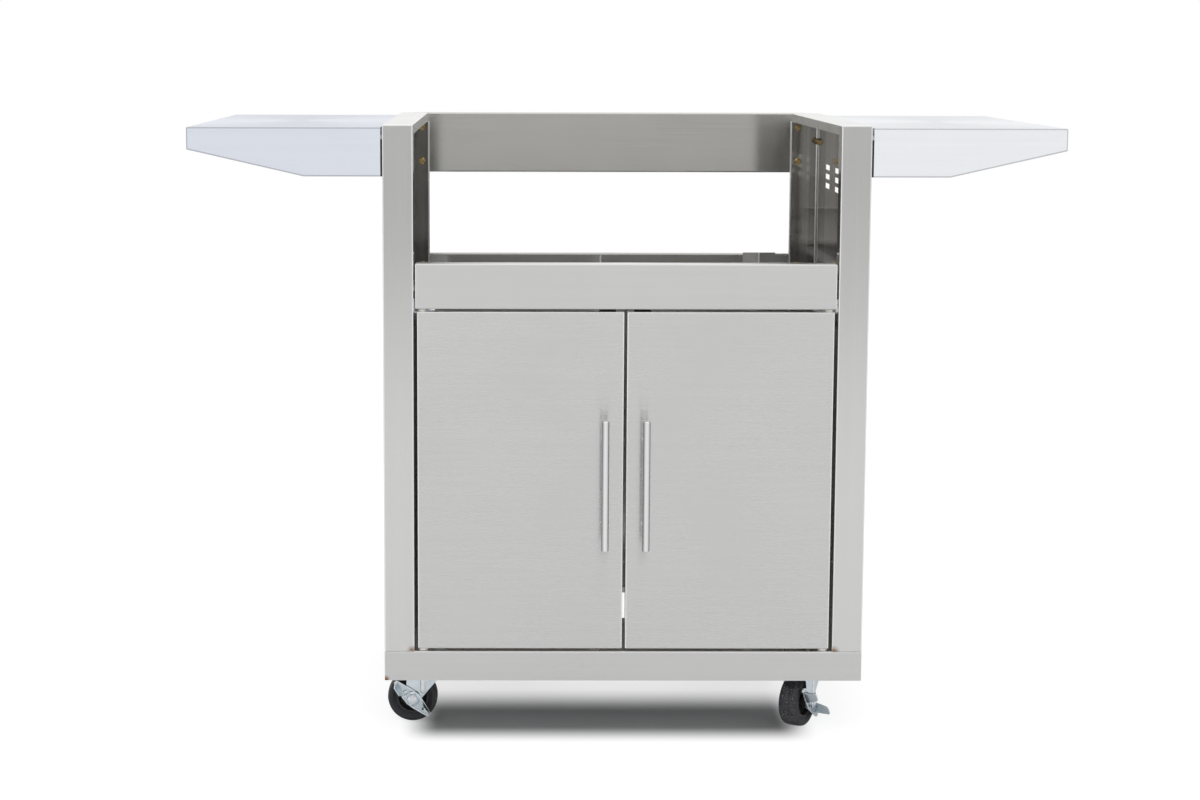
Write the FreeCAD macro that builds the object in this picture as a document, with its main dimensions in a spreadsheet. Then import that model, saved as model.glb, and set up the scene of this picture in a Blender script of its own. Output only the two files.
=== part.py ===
"""Stainless cart for a drop-in pizza oven.

Frame: millimetres, +X to the right of someone facing the doors, +Y to the back, +Z up.
The origin is on the floor under the middle of the whole cart.
"""
import FreeCAD, Part
import os
import Sketcher

DIMENSIONS = {
    # Carcass
    "cart_width": 716, "cart_top": 914, "panel_depth": 600, "post_width": 45,
    "gauge": 1.2, "bend": 2.4, "front_lip": 30, "edge_lip": 15, "hem": 4,
    # Vent slots in the side panels, measured down from the top and along the depth
    "vent_length": 50, "vent_height": 8.6, "vent_pitch": 112, "vent_step": 15.3, "vent_drop": 86,
    # Base pan, its tank hole and the channels under it
    "base_bottom": 82, "base_height": 45, "base_lip": 12,
    "tank_hole_radius": 105, "tank_rim": 9,
    "channel_width": 70, "channel_bottom": 102, "channel_gauge": 2, "channel_inset": 18,
    # Rear pieces behind the rear flanges
    "rear_return": 16, "rear_overlap": 25, "beam_height": 102, "rear_panel_top": 672,
    "hook_centre": 259, "hook_width": 56, "hook_height": 34, "hook_rise": 2, "hook_reach": 22,
    # Apron over the doors
    "apron_bottom": 643, "apron_height": 67.5, "apron_gap": 2.4, "apron_return": 22, "catch_ledge": 45,
    # Oven rails
    "rail_top": 636, "rail_leg": 30, "rail_gauge": 2, "oven_hole_radius": 3.25, "oven_hole_spacing": 340,
    "rail_tab": 24, "rail_lip_gap": 2,
    # Doors
    "door_side_gap": 5.2, "door_centre_gap": 4.4, "door_bottom_gap": 4, "door_top_gap": 3.5,
    "door_thickness": 18, "door_gauge": 1, "door_bend": 2, "pivot_inset": 8, "liner_gap": 0.1,
    "pin_radius": 4, "pin_fit": 0.08, "pin_engagement": 13, "pin_head_radius": 7, "pin_head": 3,
    "bush_radius": 5.9, "bush_collar_radius": 7, "bush_clearance": 0.4,
    "catch_width": 24, "catch_offset": 26, "catch_height": 14, "catch_depth": 22, "strike_gauge": 1.5,
    "catch_gap": 0.5,
    # Door handles
    "handle_length": 194, "handle_radius": 5.5, "handle_reach": 42, "handle_inset": 28,
    "handle_post_radius": 4, "handle_post_spacing": 128, "handle_foot_radius": 6, "handle_foot": 1.5,
    "handle_end_round": 1.2, "handle_screw_radius": 2, "handle_screw_depth": 12, "handle_screw_head": 3,
    "handle_screw_head_radius": 4,
    # Side shelves
    "shelf_length": 283, "shelf_drop": 4.5, "shelf_height": 71.5, "shelf_tip": 32.5, "shelf_flat": 112,
    "shelf_gap": 2.5, "shelf_lip": 12, "shelf_pivot_out": 21, "shelf_pivot_up": 8.5,
    "stiffener_width": 60, "stiffener_height": 15, "stiffener_margin": 30,
    "stud_radius": 4, "stud_fit": 0.08, "stud_nut_radius": 8, "stud_nut": 6,
    "washer_gauge": 1, "bracket_gauge": 3, "bracket_depth": 42, "bracket_height": 54, "ear_radius": 8.5,
    # Casters, each in its own frame with the swivel axis upright at its origin
    "caster_inset": 72, "caster_setback": 76, "trail": 33, "wheel_radius": 38.1, "wheel_width": 30,
    "tread_flat": 18, "tread_shoulder": 3, "rim_radius": 26, "rim_width": 26, "rim_wall": 5,
    "web_width": 9, "boss_radius": 10, "boss_width": 33, "axle_radius": 4, "axle_fit": 0.06,
    "plate_length": 92, "plate_width": 62, "plate_gauge": 3, "plate_hole_x": 37, "plate_hole_y": 22,
    "race_radius": 22, "race_bore": 13, "race_depth": 4, "crown_race": 1.6, "race_gap": 0.4,
    "kingpin_radius": 5, "kingpin_fit": 0.08, "kingpin_head_radius": 9, "kingpin_head": 4,
    "fork_gauge": 2.5, "fork_gap": 34, "crown_gauge": 3, "crown_back": 20, "crown_front": 40,
    "fork_boss": 11, "fork_bend": 3, "crown_skirt": 8, "plate_corner": 6, "axle_head": 5,
    "lever_gauge": 2, "lever_length": 74, "lever_width": 24, "lever_end": 7, "lever_tab": 23,
    "lever_tilt": 45, "lever_play": 0.5, "collar_radius": 6, "collar_fit": 0.06,
    # Rest headings of the casters, the way each wheel trails, in degrees from +X
    "front_left_heading": 180, "front_right_heading": -122,
    "rear_left_heading": 90, "rear_right_heading": 90,
    # Fasteners
    "bolt_radius": 3, "bolt_fit": 0.3, "bolt_head_radius": 5.6, "bolt_head": 3.5, "bolt_nut": 4.5,
    "bolt_tail": 2, "flange_bolt_inset": 10, "tab_bolt_inset": 6, "bracket_bolt_drop": 48,
}

LEFT, RIGHT = -1, 1
SIDES = (("left", LEFT), ("right", RIGHT))

doc = FreeCAD.newDocument("pizza_oven_cart")
sheet = doc.addObject("Spreadsheet::Sheet", "dims")
for row, (alias, size) in enumerate(DIMENSIONS.items(), start=1):
    sheet.set(f"A{row}", alias)
    sheet.set(f"B{row}", str(size))
    sheet.setAlias(f"B{row}", alias)
doc.recompute()

# Main planes of the cart, as expressions on the sheet
HALF = "dims.cart_width / 2"
INNER = "(dims.cart_width / 2 - dims.post_width)"
FRONT = "(dims.handle_reach - dims.panel_depth - dims.rear_return) / 2"
REAR = f"({FRONT} + dims.panel_depth)"
BACK = f"({REAR} + dims.rear_return)"
MIDDLE = f"({FRONT} + dims.panel_depth / 2)"
TOP = "dims.cart_top"
BASE_TOP = "(dims.base_bottom + dims.base_height)"
BASE_MIDDLE = f"({FRONT} + {BACK}) / 2"
DOOR_LOW = f"({BASE_TOP} + dims.door_bottom_gap)"
DOOR_HIGH = "(dims.apron_bottom - dims.door_top_gap)"
DOOR_EDGE = f"({INNER} - dims.door_side_gap)"
PIVOT_X = f"({DOOR_EDGE} - dims.pivot_inset)"
PIVOT_Y = f"({FRONT} + dims.door_thickness / 2)"
HANDLE_X = "(dims.door_centre_gap / 2 + dims.handle_inset)"
HANDLE_Y = f"({FRONT} - dims.handle_reach + dims.handle_radius)"
HANDLE_Z = f"({DOOR_LOW} + {DOOR_HIGH}) / 2"
SHELF_NEAR = f"({HALF} + dims.shelf_gap)"
SHELF_FAR = f"({SHELF_NEAR} + dims.shelf_length)"
SHELF_TOP = "(dims.cart_top - dims.shelf_drop)"
SHELF_LOW = f"({SHELF_TOP} - dims.shelf_height)"
SHELF_PIVOT_X = f"({HALF} + dims.shelf_pivot_out)"
SHELF_PIVOT_Z = f"({SHELF_LOW} + dims.shelf_pivot_up)"
PLATE_LOW = "(dims.channel_bottom - dims.plate_gauge)"
CROWN_TOP = f"({PLATE_LOW} - dims.race_depth - dims.race_gap - dims.crown_race)"
CROWN_LOW = f"({CROWN_TOP} - dims.crown_gauge)"
FORK_HALF = "(dims.fork_gap / 2 + dims.fork_gauge)"
LEVER_NEAR = f"({FORK_HALF} + dims.lever_play)"
LEVER_FAR = f"({LEVER_NEAR} + dims.lever_gauge)"
MARGIN = "5"

# Turns that carry a piece's own +Z to the named direction
TURNS = {
    "up": FreeCAD.Rotation(FreeCAD.Vector(1, 0, 0), 0),
    "down": FreeCAD.Rotation(FreeCAD.Vector(1, 0, 0), 180),
    "front": FreeCAD.Rotation(FreeCAD.Vector(1, 0, 0), 90),
    "back": FreeCAD.Rotation(FreeCAD.Vector(1, 0, 0), -90),
    "right": FreeCAD.Rotation(FreeCAD.Vector(0, 1, 0), 90),
    "left": FreeCAD.Rotation(FreeCAD.Vector(0, 1, 0), -90),
}


def size_of(expression):
    """The present value of an expression on the sheet."""
    return float(sheet.evalExpression(expression))


def place(item, at, turn="up"):
    """Puts an object at three expressions, with its own +Z turned to a named direction."""
    item.Placement = FreeCAD.Placement(FreeCAD.Vector(), TURNS[turn])
    for axis, expression in zip("xyz", at):
        item.setExpression(f"Placement.Base.{axis}", expression)
    return item


def block(name, low, high):
    """A box between two corners, each given as three expressions."""
    box = doc.addObject("Part::Box", name)
    for prop, near, far in zip(("Length", "Width", "Height"), low, high):
        box.setExpression(prop, f"({far}) - ({near})")
    return place(box, low)


def rod(name, at, radius, length, turn="up"):
    """A round bar that starts at a point and runs in a named direction."""
    bar = doc.addObject("Part::Cylinder", name)
    bar.setExpression("Radius", radius)
    bar.setExpression("Height", length)
    return place(bar, at, turn)


def hexagon(name, at, radius, length, turn="up"):
    """A six-sided bar, for bolt heads and nuts."""
    bar = doc.addObject("Part::Prism", name)
    bar.Polygon = 6
    bar.setExpression("Circumradius", radius)
    bar.setExpression("Height", length)
    return place(bar, at, turn)


def join(name, pieces):
    """One solid from pieces that meet."""
    union = doc.addObject("Part::MultiFuse", name)
    union.Shapes = pieces
    return union


def cut(name, base, tools):
    """A base with every tool taken out of it."""
    remainder = doc.addObject("Part::Cut", name)
    remainder.Base = base
    remainder.Tool = tools[0] if len(tools) == 1 else join(f"{name}_tools", tools)
    return remainder


def group(name, pieces):
    """Separate solids that share a node."""
    bundle = doc.addObject("Part::Compound", name)
    bundle.Links = pieces
    return bundle


def rounded(name, base, radius, chosen):
    """A base whose chosen edges are bent round; chosen() tests an edge's box."""
    doc.recompute()
    reach = size_of(radius)
    edges = [
        (number, reach, reach)
        for number, edge in enumerate(base.Shape.Edges, start=1)
        if chosen(edge.BoundBox)
    ]
    fillet = doc.addObject("Part::Fillet", name)
    fillet.Base = base
    fillet.Edges = edges
    return fillet


def lies_at(span_low, span_high, plane):
    """True where an edge's span along one axis lies in a plane."""
    return abs(span_low - plane) < 0.01 and abs(span_high - plane) < 0.01


def tray(name, low, high, mouth, wall, bend):
    """A folded sheet pan between two corners, open on its mouth side ("+y", "-y", "-z")."""
    axis = "xyz".index(mouth[1])
    outer = block(f"{name}_blank", low, high)
    mouth_at = size_of((high if mouth[0] == "+" else low)[axis])

    def away_from_mouth(box):
        spans = ((box.XMin, box.XMax), (box.YMin, box.YMax), (box.ZMin, box.ZMax))
        return not lies_at(*spans[axis], mouth_at)

    shell = rounded(f"{name}_bent", outer, bend, away_from_mouth)
    inner_low = [f"{value} + {wall}" for value in low]
    inner_high = [f"{value} - {wall}" for value in high]
    if mouth[0] == "+":
        inner_high[axis] = f"{high[axis]} + {MARGIN}"
    else:
        inner_low[axis] = f"{low[axis]} - {MARGIN}"
    return cut(name, shell, [block(f"{name}_hollow", inner_low, inner_high)])


def span(side, near, far):
    """An X range measured outwards from the middle plane, on one side of the cart."""
    if side == RIGHT:
        return near, far
    return f"-({far})", f"-({near})"


def sided(side, distance):
    """An X position measured outwards from the middle plane."""
    return distance if side == RIGHT else f"-({distance})"


def side_block(name, side, x_span, y_span, z_span):
    """A box whose X range is measured outwards from the middle plane."""
    x_low, x_high = span(side, *x_span)
    return block(name, (x_low, y_span[0], z_span[0]), (x_high, y_span[1], z_span[1]))


def outline(body, name, role, points):
    """A closed sketch of straight runs on one of the body's own planes, each corner bound to the sheet."""
    sketch = body.newObject("Sketcher::SketchObject", name)
    plane = next(item for item in body.Origin.OriginFeatures if item.Role == role)
    sketch.AttachmentSupport = [(plane, "")]
    sketch.MapMode = "FlatFace"
    corners = [FreeCAD.Vector(size_of(x), size_of(y), 0) for x, y in points]
    count = len(corners)
    for index in range(count):
        sketch.addGeometry(Part.LineSegment(corners[index], corners[(index + 1) % count]), False)
    for index in range(count):
        sketch.addConstraint(Sketcher.Constraint("Coincident", index, 2, (index + 1) % count, 1))
    for index, expressions in enumerate(points):
        for kind, expression in zip(("DistanceX", "DistanceY"), expressions):
            constraint = Sketcher.Constraint(kind, -1, 1, index, 1, size_of(expression))
            sketch.setExpression(f"Constraints[{sketch.addConstraint(constraint)}]", expression)
    return sketch


def padded_body(name, role, points, length):
    """A body whose outline is padded evenly to both sides of its plane."""
    body = doc.addObject("PartDesign::Body", name)
    pad = body.newObject("PartDesign::Pad", f"{name}_pad")
    pad.Profile = outline(body, f"{name}_outline", role, points)
    pad.SideType = "Symmetric"
    pad.setExpression("Length", length)
    body.Tip = pad
    doc.recompute()
    return body


def turned_body(name, points):
    """A body turned about its own Y axis from an outline of radius and place along the axis."""
    body = doc.addObject("PartDesign::Body", name)
    sketch = outline(body, f"{name}_outline", "XY_Plane", points)
    turning = body.newObject("PartDesign::Revolution", f"{name}_turning")
    turning.Profile = sketch
    turning.ReferenceAxis = (sketch, ["V_Axis"])
    turning.Angle = 360
    body.Tip = turning
    doc.recompute()
    return body


def soften(body, name, radius, chosen):
    """Rounds the chosen edges of a body's tip; chosen() tests an edge's box."""
    tip = body.Tip
    edges = [
        f"Edge{number}"
        for number, edge in enumerate(tip.Shape.Edges, start=1)
        if chosen(edge.BoundBox)
    ]
    fillet = body.newObject("PartDesign::Fillet", name)
    fillet.Base = (tip, edges)
    fillet.setExpression("Radius", radius)
    body.Tip = fillet
    doc.recompute()


def bolt(name, grip):
    """A hexagon bolt with its nut: head seat at the origin, head towards +Z, nut past the grip."""
    tail = f"({grip}) + dims.bolt_nut + dims.bolt_tail"
    pieces = [
        hexagon(f"{name}_head", ("0", "0", "0"), "dims.bolt_head_radius", "dims.bolt_head"),
        rod(f"{name}_shank", ("0", "0", f"-({tail})"), "dims.bolt_radius", tail),
        hexagon(f"{name}_nut", ("0", "0", f"-({grip}) - dims.bolt_nut"), "dims.bolt_head_radius",
                "dims.bolt_nut"),
    ]
    return join(name, pieces)


def seated(name, piece, seats):
    """One copy of a piece at each seat (place, direction of its own +Z)."""
    return [
        place(group(f"{name}_{number}", [piece]), at, turn)
        for number, (at, turn) in enumerate(seats, start=1)
    ]


def bores(name, seats, grip):
    """Clearance holes for bolts at their seats, each running past the grip both ways."""
    radius = "dims.bolt_radius + dims.bolt_fit"
    hole = rod(f"{name}_hole", ("0", "0", f"-({grip}) - {MARGIN}"), radius, f"{grip} + 2 * {MARGIN}")
    return seated(name, hole, seats)


nodes = {}


def keep(node, item):
    """Names a finished piece for its file."""
    item.Label = node
    nodes[node] = item
    return item


# Where the frame is bolted together. A seat is the point under a bolt's head and the way the head faces.
FLANGE_BOLT_X = f"({INNER} + dims.flange_bolt_inset)"
BEAM_BOLT_DROPS = (25, 83)
PANEL_BOLT_RISES = (25, 273, 525)
APRON_BOLT_RISES = (20, 48)
FOOT_BOLT_SETBACKS = (150, 300, 450)
RAIL_BOLT_SETBACK = 24
BRACKET_BOLT_SETBACKS = (14, 30)
BRACKET_BOLT_Z = f"({TOP} - dims.bracket_bolt_drop)"
FLANGE_FACE = f"({REAR} - dims.gauge)"
RAIL_MIDDLE = "(dims.rail_top - dims.rail_leg / 2)"
TOWARDS_MIDDLE = {LEFT: "right", RIGHT: "left"}
OUTWARDS = {LEFT: "left", RIGHT: "right"}

GRIPS = {
    "beam": "2 * dims.gauge",
    "panel": "2 * dims.gauge",
    "foot": "2 * dims.gauge",
    "apron": "2 * dims.gauge + dims.apron_gap",
    "rail_front": "dims.gauge + dims.rail_gauge",
    "rail_rear": "2 * dims.gauge + dims.rail_gauge",
    "bracket": "dims.gauge + dims.bracket_gauge",
}


def bolt_seats(joint, side):
    """The seats of one bolted joint on one side of the cart."""
    flange_x = sided(side, FLANGE_BOLT_X)
    apron_x = sided(side, f"{INNER} - dims.apron_gap - dims.gauge")
    apron_y = f"{FRONT} + dims.apron_return / 2"
    foot_x = sided(side, f"{HALF} - dims.post_width / 2")
    tab_x = sided(side, f"{INNER} + dims.rail_tab - dims.tab_bolt_inset")
    bracket_x = sided(side, f"{HALF} + dims.bracket_gauge")
    middle = TOWARDS_MIDDLE[side]
    if joint == "beam":
        return [((flange_x, FLANGE_FACE, f"{TOP} - {drop}"), "front") for drop in BEAM_BOLT_DROPS]
    if joint == "panel":
        return [((flange_x, FLANGE_FACE, f"{BASE_TOP} + {rise}"), "front") for rise in PANEL_BOLT_RISES]
    if joint == "foot":
        foot_z = f"{BASE_TOP} + dims.gauge"
        return [((foot_x, f"{FRONT} + {back}", foot_z), "up") for back in FOOT_BOLT_SETBACKS]
    if joint == "apron":
        return [((apron_x, apron_y, f"dims.apron_bottom + {rise}"), middle) for rise in APRON_BOLT_RISES]
    if joint == "rail_front":
        return [((sided(side, INNER), f"{FRONT} + {RAIL_BOLT_SETBACK}", RAIL_MIDDLE), middle)]
    if joint == "rail_rear":
        return [((tab_x, f"{FLANGE_FACE} - dims.rail_gauge", RAIL_MIDDLE), "front")]
    setbacks = [y for back in BRACKET_BOLT_SETBACKS for y in (f"{FRONT} + {back}", f"{REAR} - {back}")]
    return [((bracket_x, y, BRACKET_BOLT_Z), OUTWARDS[side]) for y in setbacks]


def joint_bores(name, joints, sides=(LEFT, RIGHT)):
    """Clearance holes for the bolts of the named joints."""
    holes = []
    for joint in joints:
        seats = [seat for side in sides for seat in bolt_seats(joint, side)]
        holes += bores(f"{name}_{joint}", seats, GRIPS[joint])
    return holes


# Side panels: a C-section whose front flange is the post, with a deep front return, shallow top and
# bottom returns, a hem along the rear flange and rows of vent slots below the shelf.
VENT_COLUMNS = (-1.5, -0.5, 0.5, 1.5)
VENT_ROWS = 3
for word, side in SIDES:
    node = f"{word}_side_panel"
    blank = side_block(f"{node}_blank", side, (INNER, HALF), (FRONT, REAR), (BASE_TOP, TOP))
    inner_x, rear_y, foot_z = side * size_of(INNER), size_of(REAR), size_of(BASE_TOP)

    def bent(box):
        at_hem = lies_at(box.XMin, box.XMax, inner_x) and lies_at(box.YMin, box.YMax, rear_y)
        return not at_hem and not lies_at(box.ZMin, box.ZMax, foot_z)

    shell = rounded(f"{node}_bent", blank, "dims.bend", bent)
    hollow = side_block(
        f"{node}_hollow", side, (f"{INNER} + dims.gauge", f"{HALF} - dims.gauge"),
        (f"{FRONT} + dims.gauge", FLANGE_FACE), (f"{BASE_TOP} + dims.gauge", f"{TOP} - dims.gauge"))
    lips = (f"{BASE_TOP} + dims.edge_lip", f"{TOP} - dims.edge_lip")
    window = side_block(
        f"{node}_window", side, (f"{INNER} - {MARGIN}", f"{INNER} + {MARGIN}"),
        (f"{FRONT} + dims.front_lip", FLANGE_FACE), lips)
    vents = []
    for column in VENT_COLUMNS:
        start = f"({MIDDLE} + {column} * dims.vent_pitch - dims.vent_length / 2)"
        for step in range(VENT_ROWS):
            low = f"({TOP} - dims.vent_drop - {step} * dims.vent_step - dims.vent_height / 2)"
            vents.append(side_block(
                f"{node}_vent", side, (f"{HALF} - {MARGIN}", f"{HALF} + {MARGIN}"),
                (start, f"{start} + dims.vent_length"), (low, f"{low} + dims.vent_height")))
    opened = cut(f"{node}_opened", shell, [hollow, window] + vents)
    hem = side_block(
        f"{node}_hem", side, (INNER, f"{INNER} + dims.hem"), (f"{FLANGE_FACE} - dims.gauge", FLANGE_FACE),
        lips)
    hem_notch = side_block(
        f"{node}_hem_notch", side, (f"{INNER} - {MARGIN}", f"{INNER} + dims.hem + {MARGIN}"),
        (f"{FLANGE_FACE} - {MARGIN}", f"{FLANGE_FACE} + {MARGIN}"),
        ("dims.rail_top - dims.rail_leg - dims.rail_lip_gap", "dims.rail_top + dims.rail_lip_gap"))
    hemmed = join(f"{node}_hemmed", [opened, cut(f"{node}_notched_hem", hem, [hem_notch])])
    keep(node, cut(node, hemmed, joint_bores(node, GRIPS, (side,))))

# Base pan: a lipped tray upside down, with a rimmed round hole for the foot ring of a gas tank
base_low = (f"-({HALF})", FRONT, "dims.base_bottom")
base_high = (HALF, BACK, BASE_TOP)
base_shell = rounded(
    "base_bent", block("base_blank", base_low, base_high), "dims.bend",
    lambda box: not lies_at(box.ZMin, box.ZMax, DIMENSIONS["base_bottom"]))
base_hollow = block(
    "base_hollow",
    [f"{value} + dims.gauge" for value in base_low],
    [f"{value} - dims.gauge" for value in base_high])
base_mouth = block(
    "base_mouth", (f"dims.base_lip - {HALF}", f"{FRONT} + dims.base_lip", f"dims.base_bottom - {MARGIN}"),
    (f"{HALF} - dims.base_lip", f"{BACK} - dims.base_lip", f"dims.base_bottom + {MARGIN}"))
rim_low = f"{BASE_TOP} - dims.tank_rim"
rim = rod("tank_rim", ("0", BASE_MIDDLE, rim_low), "dims.tank_hole_radius + dims.gauge", "dims.tank_rim")
tank_hole = rod(
    "tank_hole", ("0", BASE_MIDDLE, f"{rim_low} - {MARGIN}"), "dims.tank_hole_radius",
    f"dims.tank_rim + 2 * {MARGIN}")
pin_holes = [
    rod("base_pin_hole", (sided(side, PIVOT_X), PIVOT_Y, f"{BASE_TOP} - {MARGIN}"), "dims.pin_radius",
        f"2 * {MARGIN}")
    for word, side in SIDES
]
base_rimmed = join("base_rimmed", [cut("base_opened", base_shell, [base_hollow, base_mouth]), rim])
keep("base_pan", cut("base_pan", base_rimmed, [tank_hole] + pin_holes + joint_bores("base_pan", ["foot"])))

# Base channels: two folded channels welded across the cart under the base pan, that carry the casters
CASTER_ROWS = {"front": f"({FRONT} + dims.caster_setback)", "rear": f"({BACK} - dims.caster_setback)"}
CASTER_X = f"({HALF} - dims.caster_inset)"
BASE_UNDERSIDE = f"({BASE_TOP} - dims.gauge)"
channel_end = f"({HALF} - dims.channel_inset)"


def caster_bolt_seats():
    """The sixteen seats under the caster plates."""
    return [
        ((f"{sided(side, CASTER_X)} + ({x_sign} * dims.plate_hole_x)",
          f"{row} + ({y_sign} * dims.plate_hole_y)", PLATE_LOW), "down")
        for row in CASTER_ROWS.values()
        for word, side in SIDES
        for x_sign in (-1, 1)
        for y_sign in (-1, 1)
    ]


CASTER_GRIP = "dims.plate_gauge + dims.channel_gauge"
channels = []
for word, row in CASTER_ROWS.items():
    low = (f"-{channel_end}", f"{row} - dims.channel_width / 2", "dims.channel_bottom")
    high = (channel_end, f"{row} + dims.channel_width / 2", BASE_UNDERSIDE)
    outer = block(f"{word}_channel_blank", low, high)
    trough = block(
        f"{word}_channel_trough", (f"{low[0]} - {MARGIN}", f"{low[1]} + dims.channel_gauge",
                                   f"{low[2]} + dims.channel_gauge"),
        (f"{high[0]} + {MARGIN}", f"{high[1]} - dims.channel_gauge", f"{high[2]} + {MARGIN}"))
    channels.append(cut(f"{word}_channel", outer, [trough]))
channel_pair = group("channel_pair", channels)
keep("base_channels", cut("base_channels", channel_pair, bores("channel", caster_bolt_seats(), CASTER_GRIP)))

# Rear panel and rear top beam: shallow folded pans bolted to the back of the rear flanges
rear_reach = f"({INNER} + dims.rear_overlap)"
keep("rear_panel", cut(
    "rear_panel",
    tray("rear_panel_tray", (f"-{rear_reach}", REAR, BASE_TOP), (rear_reach, BACK, "dims.rear_panel_top"),
         "+y", "dims.gauge", "dims.bend"),
    joint_bores("rear_panel", ["panel", "rail_rear"])))
keep("rear_top_beam", cut(
    "rear_top_beam",
    tray("rear_beam_tray", (f"-{rear_reach}", REAR, f"{TOP} - dims.beam_height"), (rear_reach, BACK, TOP),
         "+y", "dims.gauge", "dims.bend"),
    joint_bores("rear_beam", ["beam"])))

# Hose bracket: a plate spot-welded inside the rear panel's top edge, folded to a hook for the gas hose
hook_left = "(dims.hook_centre - dims.hook_width / 2)"
hook_right = "(dims.hook_centre + dims.hook_width / 2)"
hook_top = "(dims.rear_panel_top + dims.hook_rise)"
hook_low = f"({hook_top} - dims.hook_height)"
hook_tip = f"({REAR} - dims.hook_reach)"
keep("hose_bracket", join("hose_bracket", [
    block("hook_plate", (hook_left, FLANGE_FACE, hook_low), (hook_right, REAR, hook_top)),
    block("hook_floor", (hook_left, hook_tip, hook_low), (hook_right, REAR, f"{hook_low} + dims.gauge")),
    block("hook_lip", (hook_left, hook_tip, hook_low),
          (hook_right, f"{hook_tip} + dims.gauge", f"{hook_low} + dims.hook_height / 3")),
]))

# Apron: a folded pan between the posts over the doors, with a deeper ledge underneath for the catches
apron_end = f"({INNER} - dims.apron_gap)"
apron_top = "(dims.apron_bottom + dims.apron_height)"
apron_pan = tray(
    "apron_pan", (f"-{apron_end}", FRONT, "dims.apron_bottom"),
    (apron_end, f"{FRONT} + dims.apron_return", apron_top), "+y", "dims.gauge", "dims.bend")
ledge = block(
    "apron_ledge", (f"{MARGIN} - {apron_end}", f"{FRONT} + dims.apron_return / 2", "dims.apron_bottom"),
    (f"{apron_end} - {MARGIN}", f"{FRONT} + dims.catch_ledge", "dims.apron_bottom + dims.gauge"))
pin_holes = [
    rod("apron_pin_hole", (sided(side, PIVOT_X), PIVOT_Y, f"dims.apron_bottom - {MARGIN}"), "dims.pin_radius",
        f"2 * {MARGIN}")
    for word, side in SIDES
]
keep("front_apron", cut(
    "front_apron", join("apron_whole", [apron_pan, ledge]), pin_holes + joint_bores("apron", ["apron"])))

# Oven rails: an angle behind each post return, tabbed to the rear flange, drilled for the oven's feet
OVEN_HOLE_X = f"({INNER} - dims.rail_leg / 2)"
for word, side in SIDES:
    node = f"{word}_oven_rail"
    leg_near = f"({INNER} + dims.gauge)"
    leg_far = f"({leg_near} + dims.rail_gauge)"
    rail_low = "(dims.rail_top - dims.rail_leg)"
    leg = side_block(
        f"{node}_leg", side, (leg_near, leg_far), (f"{FRONT} + {MARGIN}", FLANGE_FACE),
        (rail_low, "dims.rail_top"))
    flange = side_block(
        f"{node}_flange", side, (f"{INNER} - dims.rail_leg", leg_far),
        (f"{FRONT} + dims.front_lip + dims.rail_lip_gap", f"{FLANGE_FACE} - dims.gauge"),
        ("dims.rail_top - dims.rail_gauge", "dims.rail_top"))
    tab = side_block(
        f"{node}_tab", side, (leg_near, f"{leg_near} + dims.rail_tab"),
        (f"{FLANGE_FACE} - dims.rail_gauge", FLANGE_FACE), (rail_low, "dims.rail_top"))
    oven_holes = [
        rod(f"{node}_oven_hole",
            (sided(side, OVEN_HOLE_X), f"{MIDDLE} + ({end} * dims.oven_hole_spacing / 2)",
             f"dims.rail_top - {MARGIN}"), "dims.oven_hole_radius", f"2 * {MARGIN}")
        for end in (-1, 1)
    ]
    drilled = oven_holes + joint_bores(node, ["rail_front", "rail_rear"], (side,))
    keep(node, cut(node, join(f"{node}_angle", [leg, flange, tab]), drilled))

# Frame bolts: every bolt and nut that holds the carcass together; the apron's have a spacer in the gap
spacer = cut("apron_spacer", rod("apron_spacer_disc", ("0", "0", "-dims.gauge - dims.apron_gap"),
                                 "dims.bolt_head_radius", "dims.apron_gap"),
             [rod("apron_spacer_hole", ("0", "0", f"-{MARGIN}"), "dims.bolt_radius", MARGIN)])
frame_bolts = []
for joint in ("beam", "panel", "foot", "apron", "rail_front", "rail_rear"):
    seats = [seat for word, side in SIDES for seat in bolt_seats(joint, side)]
    frame_bolts += seated(f"{joint}_bolt", bolt(f"{joint}_bolt", GRIPS[joint]), seats)
    if joint == "apron":
        frame_bolts += seated("apron_spacer", spacer, seats)
keep("frame_bolts", group("frame_bolts", frame_bolts))

# Door catches: a magnet housing for each door under the apron's ledge
catches = []
for word, side in SIDES:
    catch_span = ("dims.catch_offset - dims.catch_width / 2", "dims.catch_offset + dims.catch_width / 2")
    catch_front = f"({FRONT} + dims.door_thickness + dims.strike_gauge + dims.catch_gap)"
    catches.append(side_block(
        f"{word}_catch", side, catch_span, (catch_front, f"{catch_front} + dims.catch_depth"),
        ("dims.apron_bottom - dims.catch_height", "dims.apron_bottom")))
keep("door_catches", group("door_catches", catches))

# Hinge pins: headed pins up through the base pan and down through the apron's ledge, two for each door
hinge_pins = []
for word, side in SIDES:
    pivot = (sided(side, PIVOT_X), PIVOT_Y)
    low_seat, high_seat = BASE_UNDERSIDE, "(dims.apron_bottom + dims.gauge)"
    low_length = "dims.gauge + dims.door_bottom_gap + dims.pin_engagement"
    high_length = "dims.gauge + dims.door_top_gap + dims.pin_engagement"
    hinge_pins.append(join(f"{word}_lower_pin", [
        rod(f"{word}_lower_pin_shank", (*pivot, low_seat), "dims.pin_radius", low_length),
        rod(f"{word}_lower_pin_head", (*pivot, low_seat), "dims.pin_head_radius", "dims.pin_head", "down"),
    ]))
    hinge_pins.append(join(f"{word}_upper_pin", [
        rod(f"{word}_upper_pin_shank", (*pivot, high_seat), "dims.pin_radius", high_length, "down"),
        rod(f"{word}_upper_pin_head", (*pivot, high_seat), "dims.pin_head_radius", "dims.pin_head"),
    ]))
keep("hinge_pins", group("hinge_pins", hinge_pins))

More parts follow.
